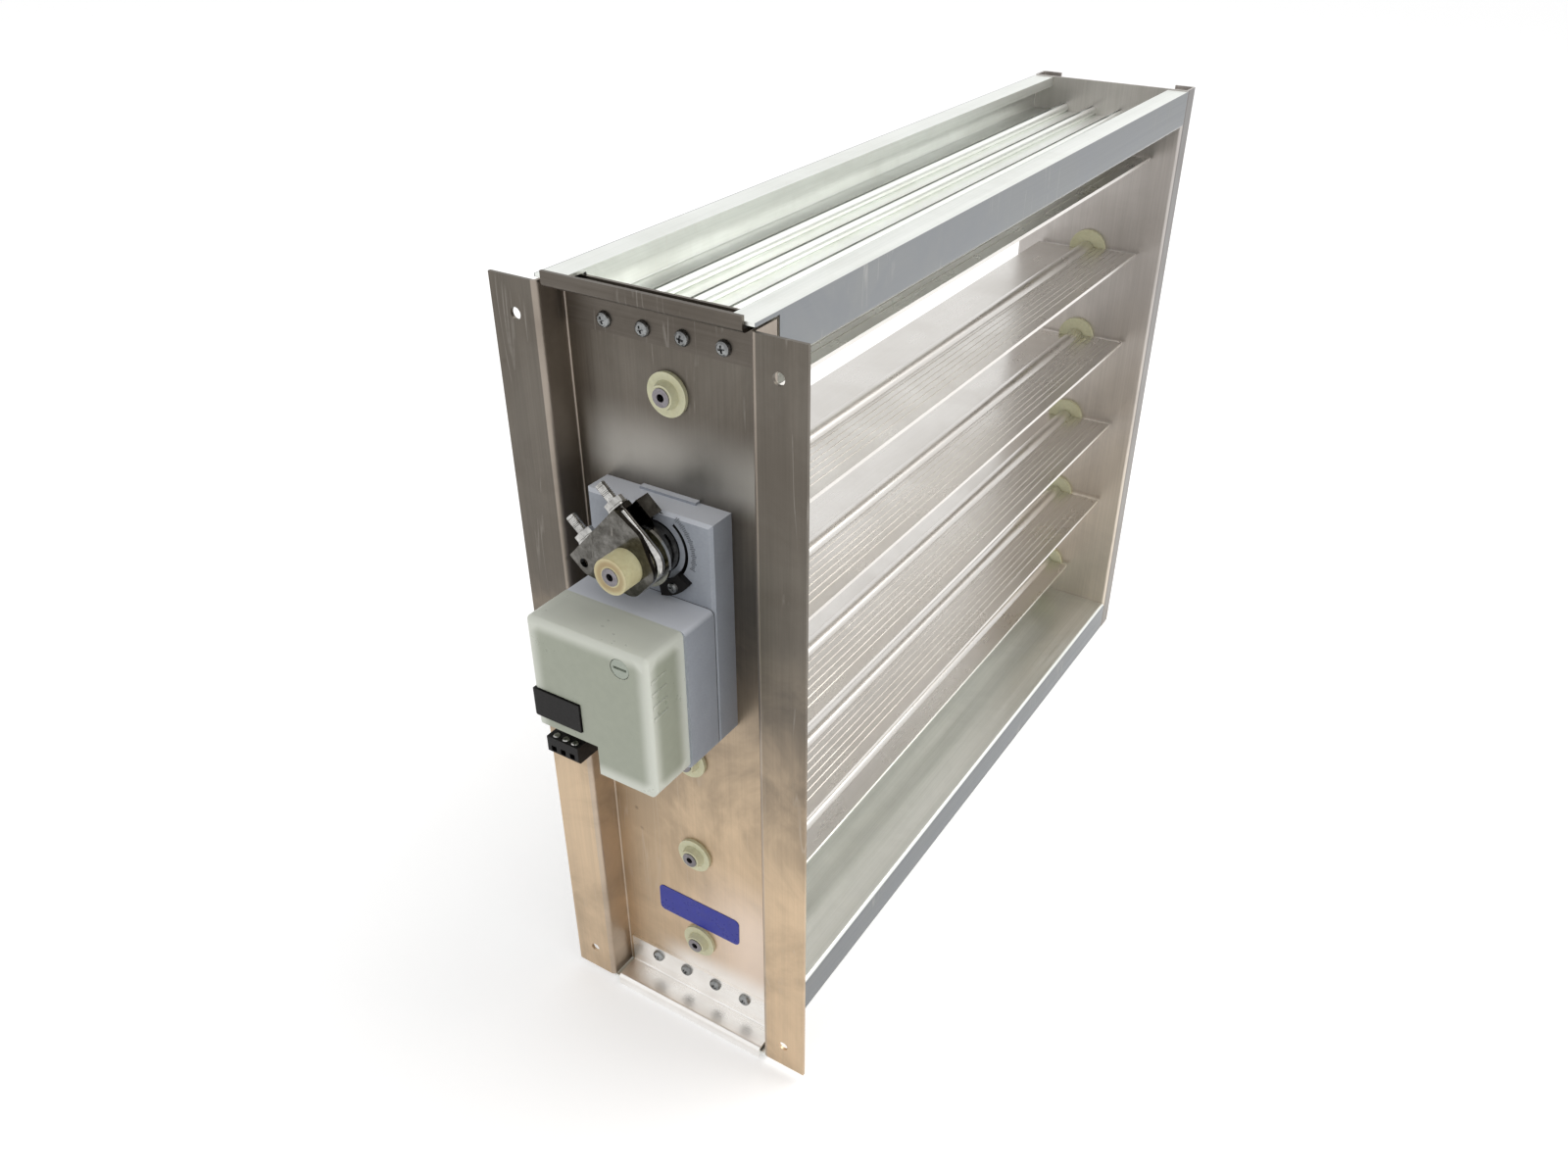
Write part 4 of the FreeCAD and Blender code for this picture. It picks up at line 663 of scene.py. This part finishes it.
def seat(name, mesh, body, finish=None):
    """An object at the origin with that mesh, riding on the body."""
    name = name.replace(" ", "_")
    piece = bpy.data.objects.new(name, mesh)
    bpy.context.scene.collection.objects.link(piece)
    if finish:
        mesh.materials.clear()
        mesh.materials.append(finish)
    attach(piece, body)
    return piece


def turned(outline, steps=28):
    """A closed solid of revolution about Y from (radius, y) points."""
    shape = bmesh.new()
    rings = []
    for radius, y in outline:
        if radius < 1e-7:
            rings.append([shape.verts.new((0, y, 0))])
        else:
            rings.append([shape.verts.new((
                radius * math.cos(2 * math.pi * k / steps), y,
                radius * math.sin(2 * math.pi * k / steps))) for k in range(steps)])
    for first, second in zip(rings, rings[1:]):
        for k in range(steps):
            a, b = first[k % len(first)], first[(k + 1) % len(first)]
            c, d = second[(k + 1) % len(second)], second[k % len(second)]
            corners = list(dict.fromkeys((a, b, c, d)))
            if len(corners) > 2:
                shape.faces.new(corners)
    bmesh.ops.recalc_face_normals(shape, faces=shape.faces)
    mesh = bpy.data.meshes.new("turned")
    shape.to_mesh(mesh)
    shape.free()
    return mesh


def cut(mesh, cutter_mesh):
    """mesh with cutter_mesh taken away."""
    body = bpy.data.objects.new("blank", mesh)
    tool = bpy.data.objects.new("tool", cutter_mesh)
    for each in (body, tool):
        bpy.context.scene.collection.objects.link(each)
    modifier = body.modifiers.new("cut", "BOOLEAN")
    modifier.operation = "DIFFERENCE"
    modifier.solver = "EXACT"
    modifier.object = tool
    bpy.context.view_layer.update()
    evaluated = body.evaluated_get(bpy.context.evaluated_depsgraph_get())
    result = bpy.data.meshes.new_from_object(evaluated)
    bpy.data.objects.remove(body)
    bpy.data.objects.remove(tool)
    return result


def cross_punch(arm, width, depth, top):
    """A tapered cross that points toward +Y from the height top."""
    shape = bmesh.new()
    levels = []
    for y, share in ((top - 0.0006, 1.12), (top + depth, 0.45)):
        far, near = arm * share, width / 2 * (0.6 + 0.4 * share)
        corners = ((far, near), (near, near), (near, far), (-near, far), (-near, near),
                   (-far, near), (-far, -near), (-near, -near), (-near, -far), (near, -far),
                   (near, -near), (far, -near))
        levels.append([shape.verts.new((x, y, z)) for x, z in corners])
    low, high = levels
    shape.faces.new(low)
    shape.faces.new(list(reversed(high)))
    for k in range(12):
        shape.faces.new((low[k], high[k], high[(k + 1) % 12], low[(k + 1) % 12]))
    bmesh.ops.recalc_face_normals(shape, faces=shape.faces)
    mesh = bpy.data.meshes.new("cross punch")
    shape.to_mesh(mesh)
    shape.free()
    return mesh


# %% One screw
MM = 0.001
head_radius, head_height = 3.55 * MM, 2.4 * MM
thread_outline = []
for turn_number in range(16):
    reach = (1.2 + 1.15 * turn_number) * MM
    thread_outline += [(1.55 * MM, reach), (1.9 * MM, reach + 0.5 * MM)]
screw_outline = [
    (0, -head_height), (head_radius * 0.3, -head_height * 0.985),
    (head_radius * 0.62, -head_height * 0.88), (head_radius * 0.86, -head_height * 0.66),
    (head_radius * 0.97, -head_height * 0.38), (head_radius, -head_height * 0.12),
    (head_radius * 0.97, 0), (1.9 * MM, 0), (1.55 * MM, 0.6 * MM)]
screw_mesh = cut(turned(screw_outline + thread_outline + [(0, 19.8 * MM)]),
                 cross_punch(2.0 * MM, 1.0 * MM, 1.3 * MM, -head_height))
print("screw faces", len(screw_mesh.polygons))

# %% Screw rows
row_tree, source, sink = new_node_tree("screw row", [
    ("Count", "NodeSocketInt", 4), ("Spacing", "NodeSocketFloat", 0.02),
    ("Seed", "NodeSocketInt", 3)])
offset = put(row_tree, "ShaderNodeCombineXYZ", {"X": source.outputs["Spacing"]})
row_points = put(row_tree, "GeometryNodeMeshLine", {
    "Count": source.outputs["Count"], "Offset": offset.outputs[0]})
any_turn = put(row_tree, "FunctionNodeRandomValue", {"Seed": source.outputs["Seed"]},
               data_type="FLOAT_VECTOR")
any_turn.inputs[0].default_value = (0, -0.7, 0)
any_turn.inputs[1].default_value = (0, 0.7, 0)
row_screws = put(row_tree, "GeometryNodeInstanceOnPoints", {
    "Points": row_points.outputs[0], "Instance": source.outputs["Geometry"],
    "Rotation": any_turn.outputs[0]})
close_tree(row_tree, row_screws.outputs[0], screw_finish, sink)
for seed, name in enumerate(("near_top_screws", "near_bottom_screws", "far_top_screws",
                             "far_bottom_screws")):
    low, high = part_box(name)
    spacing = (high.x - low.x - 2 * head_radius) / 3
    middle_z = (low.z + high.z) / 2
    if name.startswith("near"):
        place = Matrix.Translation((low.x + head_radius, low.y + head_height, middle_z))
    else:
        place = (Matrix.Translation((high.x - head_radius, high.y - head_height, middle_z))
                 @ Matrix.Rotation(math.pi, 4, "Z"))
    row = run_tree(name.replace("screws", "cross screws"), screw_mesh, row_tree,
                   {"Count": 4, "Spacing": spacing, "Seed": seed + 3}, place, "frame")
    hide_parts(name)
print("screw rows, spaced", round(spacing, 4))

# %% [markdown]
# The end stop's screw is the same shape, smaller. The plug has three slotted screws with
# which the wires are clamped. They sit in wells on its upper face.

# %% End stop screw and terminal screws
TERMINALS, TERMINAL_PITCH = 3, 5.4 * MM
low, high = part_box("end_stop_screw")
stop_radius, stop_height = (high.x - low.x) / 2, high.y - low.y
stop_outline = [(0, -stop_height), (stop_radius * 0.6, -stop_height * 0.93),
                (stop_radius * 0.9, -stop_height * 0.6), (stop_radius, 0), (0, 0)]
stop_screw = cut(turned(stop_outline), cross_punch(1.5 * MM, 0.75 * MM, 0.9 * MM, -stop_height))
stop_screw.transform(
    Matrix.Translation(((low.x + high.x) / 2, high.y, (low.z + high.z) / 2))
    @ Matrix.Rotation(0.5, 4, "Y"))
stop_screw_piece = seat("end stop cross screw", stop_screw, "end_stop", screw_finish)
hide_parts("end_stop_screw")

terminal_outline = [(0, -0.8 * MM), (1.5 * MM, -0.8 * MM), (1.85 * MM, -0.45 * MM),
                    (1.85 * MM, 0), (0, 0)]
slot_shape = bmesh.new()
bmesh.ops.create_cube(slot_shape, size=1.0, matrix=Matrix.Translation((0, -0.9 * MM, 0))
                      @ Matrix.Diagonal((5 * MM, 1.0 * MM, 0.55 * MM, 1)))
slot_mesh = bpy.data.meshes.new("slot")
slot_shape.to_mesh(slot_mesh)
slot_shape.free()
terminal_screw = cut(turned(terminal_outline, 20), slot_mesh)
terminal_tree, source, sink = new_node_tree("terminal screws", [
    ("Count", "NodeSocketInt", TERMINALS), ("Spacing", "NodeSocketFloat", TERMINAL_PITCH)])
offset = put(terminal_tree, "ShaderNodeCombineXYZ", {"X": source.outputs["Spacing"]})
points = put(terminal_tree, "GeometryNodeMeshLine", {
    "Count": source.outputs["Count"], "Offset": offset.outputs[0]})
each_turn = put(terminal_tree, "FunctionNodeRandomValue", {"Seed": 8},
                data_type="FLOAT_VECTOR")
each_turn.inputs[0].default_value = (0, -1.2, 0)
each_turn.inputs[1].default_value = (0, 1.2, 0)
set_out = put(terminal_tree, "GeometryNodeInstanceOnPoints", {
    "Points": points.outputs[0], "Instance": source.outputs["Geometry"],
    "Rotation": each_turn.outputs[0]})
close_tree(terminal_tree, set_out.outputs[0], bolt_finish, sink)
low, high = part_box("terminal_plug")
wells = Vector(((low.x + high.x) / 2 - TERMINAL_PITCH, low.y + 2.9 * MM, high.z - 0.55 * MM))
run_tree("terminal screws", terminal_screw, terminal_tree,
         {"Count": TERMINALS, "Spacing": TERMINAL_PITCH},
         Matrix.Translation(wells) @ Matrix.Rotation(-math.pi / 2, 4, "X"), "terminal_plug")
print("terminal screws at", [round(v, 4) for v in wells])

# %% [markdown]
# ## Threads of the U-bolt
# The clamp is drawn tight with two nuts on the U-bolt's threaded ends. A thread is a small
# ridge that winds along the rod, so a spiral curve with a three-cornered section makes it.
# Rings side by side would be simpler, but close up one sees that they never climb.

# %% U-bolt threads
THREAD_TURNS, THREAD_LENGTH, THREAD_RADIUS, THREAD_RIDGE = 16.0, 12.8 * MM, 2.05 * MM, 0.5 * MM
thread_tree, source, sink = new_node_tree("thread ridge", [
    ("Turns", "NodeSocketFloat", THREAD_TURNS), ("Radius", "NodeSocketFloat", THREAD_RADIUS),
    ("Length", "NodeSocketFloat", THREAD_LENGTH), ("Ridge", "NodeSocketFloat", THREAD_RIDGE)])
coil = put(thread_tree, "GeometryNodeCurveSpiral", {
    "Resolution": 18, "Rotations": source.outputs["Turns"],
    "Start Radius": source.outputs["Radius"], "End Radius": source.outputs["Radius"],
    "Height": source.outputs["Length"]})
section = put(thread_tree, "GeometryNodeCurvePrimitiveCircle", {
    "Resolution": 3, "Radius": source.outputs["Ridge"]})
ridge = put(thread_tree, "GeometryNodeCurveToMesh", {
    "Curve": coil.outputs[0], "Profile Curve": section.outputs[0], "Fill Caps": True})
close_tree(thread_tree, ridge.outputs[0], bolt_finish, sink)
clamp_turn = math.radians(47.9)
clamp_x = Vector((math.cos(clamp_turn), 0, math.sin(clamp_turn)))
clamp_z = Vector((-math.sin(clamp_turn), 0, math.cos(clamp_turn)))
shaft = Vector((0, 0, SHAFT_Z))
bolt_plane, leg_half, bolt_reach = -13.8 * MM, 13.7 * MM, 33.0 * MM
axes = Matrix((clamp_x, clamp_z.cross(clamp_x), clamp_z)).transposed().to_4x4()
for side, name in ((-1, "lower"), (1, "upper")):
    start = shaft + clamp_x * leg_half * side + clamp_z * (bolt_reach - 13.2 * MM)
    start.y = bolt_plane
    run_tree(name + " thread", bpy.data.meshes.new("empty"), thread_tree,
             {"Turns": THREAD_TURNS, "Radius": THREAD_RADIUS, "Length": THREAD_LENGTH,
              "Ridge": THREAD_RIDGE}, Matrix.Translation(start) @ axes, "blade_2_drive")
print("threads on both legs")

# %% Nut flanges
FLANGE_UP_THE_LEG = 20.5 * MM
flange_outline = [(2.3 * MM, 0), (5.0 * MM, 0), (5.0 * MM, 0.7 * MM), (4.2 * MM, 1.2 * MM),
                  (2.3 * MM, 1.2 * MM), (2.3 * MM, 0)]
for side, name in ((-1, "lower"), (1, "upper")):
    flange = turned(flange_outline, 32)
    seat_at = shaft + clamp_x * leg_half * side + clamp_z * FLANGE_UP_THE_LEG
    seat_at.y = bolt_plane
    flange.transform(Matrix.Translation(seat_at) @ axes @ Matrix.Rotation(math.pi / 2, 4, "X"))
    seat(name + " nut flange", flange, "blade_2_drive", bolt_finish)
print("two flanges under the nuts")

# %% [markdown]
# ## Travel scale
# Fine raised ticks are moulded round the slot in which the end stop is set. Points are laid
# out on an arc by their number, and each fourth tick is longer.

# %% Travel scale
# The ticks are darker than the housing they are moulded from: painted shade for the small
# shadows of their relief.
tick_finish = moulded("moulded ticks with painted shade", (92, 95, 100), (102, 105, 110), (0.4, 0.5), wear=0.1,
                      wear_tone=(140, 144, 150))
tick_tree, source, sink = new_node_tree("travel ticks", [
    ("Ticks", "NodeSocketInt", 30), ("Step", "NodeSocketFloat", math.radians(2.5)),
    ("First", "NodeSocketFloat", math.radians(-18)), ("Radius", "NodeSocketFloat", 0.0202)])
dots = put(tick_tree, "GeometryNodePoints", {"Count": source.outputs["Ticks"]})
number = put(tick_tree, "GeometryNodeInputIndex").outputs[0]
angle = put(tick_tree, "ShaderNodeMath", {
    0: number, 1: source.outputs["Step"], 2: source.outputs["First"]},
    operation="MULTIPLY_ADD").outputs[0]
across = sum_up(tick_tree, "MULTIPLY", put(
    tick_tree, "ShaderNodeMath", {0: angle}, operation="COSINE").outputs[0],
    source.outputs["Radius"])
upward = sum_up(tick_tree, "MULTIPLY", put(
    tick_tree, "ShaderNodeMath", {0: angle}, operation="SINE").outputs[0],
    source.outputs["Radius"])
spot_at = put(tick_tree, "ShaderNodeCombineXYZ", {"X": across, "Z": upward})
laid = put(tick_tree, "GeometryNodeSetPosition", {
    "Geometry": dots.outputs[0], "Position": spot_at.outputs[0]})
turned_by = put(tick_tree, "ShaderNodeCombineXYZ", {"Y": sum_up(
    tick_tree, "MULTIPLY", angle, -1.0)})
fourth = sum_up(tick_tree, "LESS_THAN", put(
    tick_tree, "ShaderNodeMath", {0: number, 1: 4.0}, operation="MODULO").outputs[0], 0.5)
stretch = put(tick_tree, "ShaderNodeCombineXYZ", {
    "X": spread(tick_tree, fourth, 0.0, 1.0, 1.0, 1.7), "Y": 1.0, "Z": 1.0})
tick = put(tick_tree, "GeometryNodeMeshCube", {"Size": (1.7 * MM, 0.4 * MM, 0.26 * MM)})
ticks = put(tick_tree, "GeometryNodeInstanceOnPoints", {
    "Points": laid.outputs[0], "Instance": tick.outputs[0],
    "Rotation": turned_by.outputs[0], "Scale": stretch.outputs[0]})
close_tree(tick_tree, ticks.outputs[0], tick_finish, sink)
scale_piece = run_tree("travel scale", bpy.data.meshes.new("empty"), tick_tree, {},
                       Matrix.Translation((0, base_front, shaft.z)), "frame")
print("ticks:", len(scale_piece.data.polygons) // 6)

# %% [markdown]
# ## Blue label
# The label on the web is a thin sheet with rounded corners. It is left bare. Its tilt is read
# from the solid label, whose highest corner tells which way it leans.

# %% Label with rounded corners
low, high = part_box("label_plate")
middle = (low + high) / 2
LABEL_WIDE, LABEL_HIGH, LABEL_CORNER = 53.0 * MM, 18.5 * MM, 3.0 * MM
highest = max((v.co for v in nodes["label_plate"].data.vertices), key=lambda co: co.z)
label_tilt = math.radians(0.8) * (1 if highest.x > middle.x else -1)
label_shape = bmesh.new()
front_corners = []
for corner in range(4):
    sign_x, sign_z = ((1, 1), (-1, 1), (-1, -1), (1, -1))[corner]
    for step in range(7):
        bend = math.radians(90 * corner + 15 * step)
        front_corners.append(label_shape.verts.new((
            sign_x * (LABEL_WIDE / 2 - LABEL_CORNER) + LABEL_CORNER * math.cos(bend),
            -(high.y - low.y) / 2,
            sign_z * (LABEL_HIGH / 2 - LABEL_CORNER) + LABEL_CORNER * math.sin(bend))))
label_face = label_shape.faces.new(front_corners)
grown = bmesh.ops.extrude_face_region(label_shape, geom=[label_face])
bmesh.ops.translate(
    label_shape, vec=(0, high.y - low.y, 0),
    verts=[each for each in grown["geom"] if isinstance(each, bmesh.types.BMVert)])
bmesh.ops.recalc_face_normals(label_shape, faces=label_shape.faces)
label_mesh = bpy.data.meshes.new("rounded label")
label_shape.to_mesh(label_mesh)
label_shape.free()
label_mesh.transform(Matrix.Translation(middle) @ Matrix.Rotation(-label_tilt, 4, "Y"))
rounded_label = seat("rounded label", label_mesh, "frame", label_finish)
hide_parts("label_plate")
print("label tilt", round(math.degrees(label_tilt), 2))

# %% [markdown]
# ## Floor, light and background
# The part stands on a plain pale floor that is wide enough to fill the picture. The floor
# shines faintly by itself, so that it looks white without more light on the part. A soft even
# sky lights every side, and one large soft lamp overhead and behind gives the top faces a
# little more light and the floor a shadow.

# %% Floor
FLOOR_HALF, FLOOR_GAP, FLOOR_GLOW = 9.0, 0.0002, 0.26
floor_level = size_before[0][2]
floor_mesh = bpy.data.meshes.new("studio floor")
floor_mesh.from_pydata(
    [(x * FLOOR_HALF, y * FLOOR_HALF, floor_level - FLOOR_GAP)
     for x, y in ((-1, -1), (1, -1), (1, 1), (-1, 1))], [], [(0, 1, 2, 3)])
floor = bpy.data.objects.new("studio floor", floor_mesh)
bpy.context.scene.collection.objects.link(floor)
floor_finish = bpy.data.materials.new("pale floor")
floor_finish.use_nodes = True
floor_shader = floor_finish.node_tree.nodes["Principled BSDF"]
floor_shader.inputs["Base Color"].default_value = (0.86, 0.86, 0.86, 1)
floor_shader.inputs["Roughness"].default_value = 0.9
floor_shader.inputs["Specular IOR Level"].default_value = 0.1
floor_shader.inputs["Emission Color"].default_value = (1, 1, 1, 1)
floor_shader.inputs["Emission Strength"].default_value = FLOOR_GLOW
floor_mesh.materials.append(floor_finish)

# %% Sky and lamp
SKY_ON_SURFACES, SKY_AS_SEEN = 0.84, 1.0
LAMP_SIZE, LAMP_POWER = 1.6, 22
world = bpy.data.worlds.new("even sky")
bpy.context.scene.world = world
world.use_nodes = True
sky = world.node_tree.nodes["Background"]
sky.inputs["Color"].default_value = (1.0, 1.0, 1.0, 1)
sky_light = put(world.node_tree, "ShaderNodeLightPath")
seen = sum_up(world.node_tree, "MAXIMUM", sky_light.outputs["Is Camera Ray"], sum_up(
    world.node_tree, "MAXIMUM", sky_light.outputs["Is Glossy Ray"],
    sky_light.outputs["Is Transmission Ray"]))
strength = spread(world.node_tree, seen, 0.0, 1.0, SKY_ON_SURFACES, SKY_AS_SEEN)
world.node_tree.links.new(strength, sky.inputs["Strength"])

lamp_light = bpy.data.lights.new("soft overhead lamp", "AREA")
lamp_light.shape = "RECTANGLE"
lamp_light.size = LAMP_SIZE
lamp_light.size_y = LAMP_SIZE
lamp_light.energy = LAMP_POWER
lamp_light.color = (1.0, 0.985, 0.96)
lamp = bpy.data.objects.new("soft overhead lamp", lamp_light)
lamp_place = Vector((0.9, 0.9, 1.6))
aim = Vector((0.0, 0.25, 0.0)) - lamp_place
aimed = aim.to_track_quat("-Z", "Y").to_matrix().to_4x4()
lamp.matrix_world = Matrix.Translation(lamp_place) @ aimed
bpy.context.scene.collection.objects.link(lamp)
bpy.context.scene.view_settings.view_transform = "Standard"
print("floor at", round(floor_level, 4))

# %% Sizes and finish
print("solids ", [[round(v, 4) for v in corner] for corner in size_before])
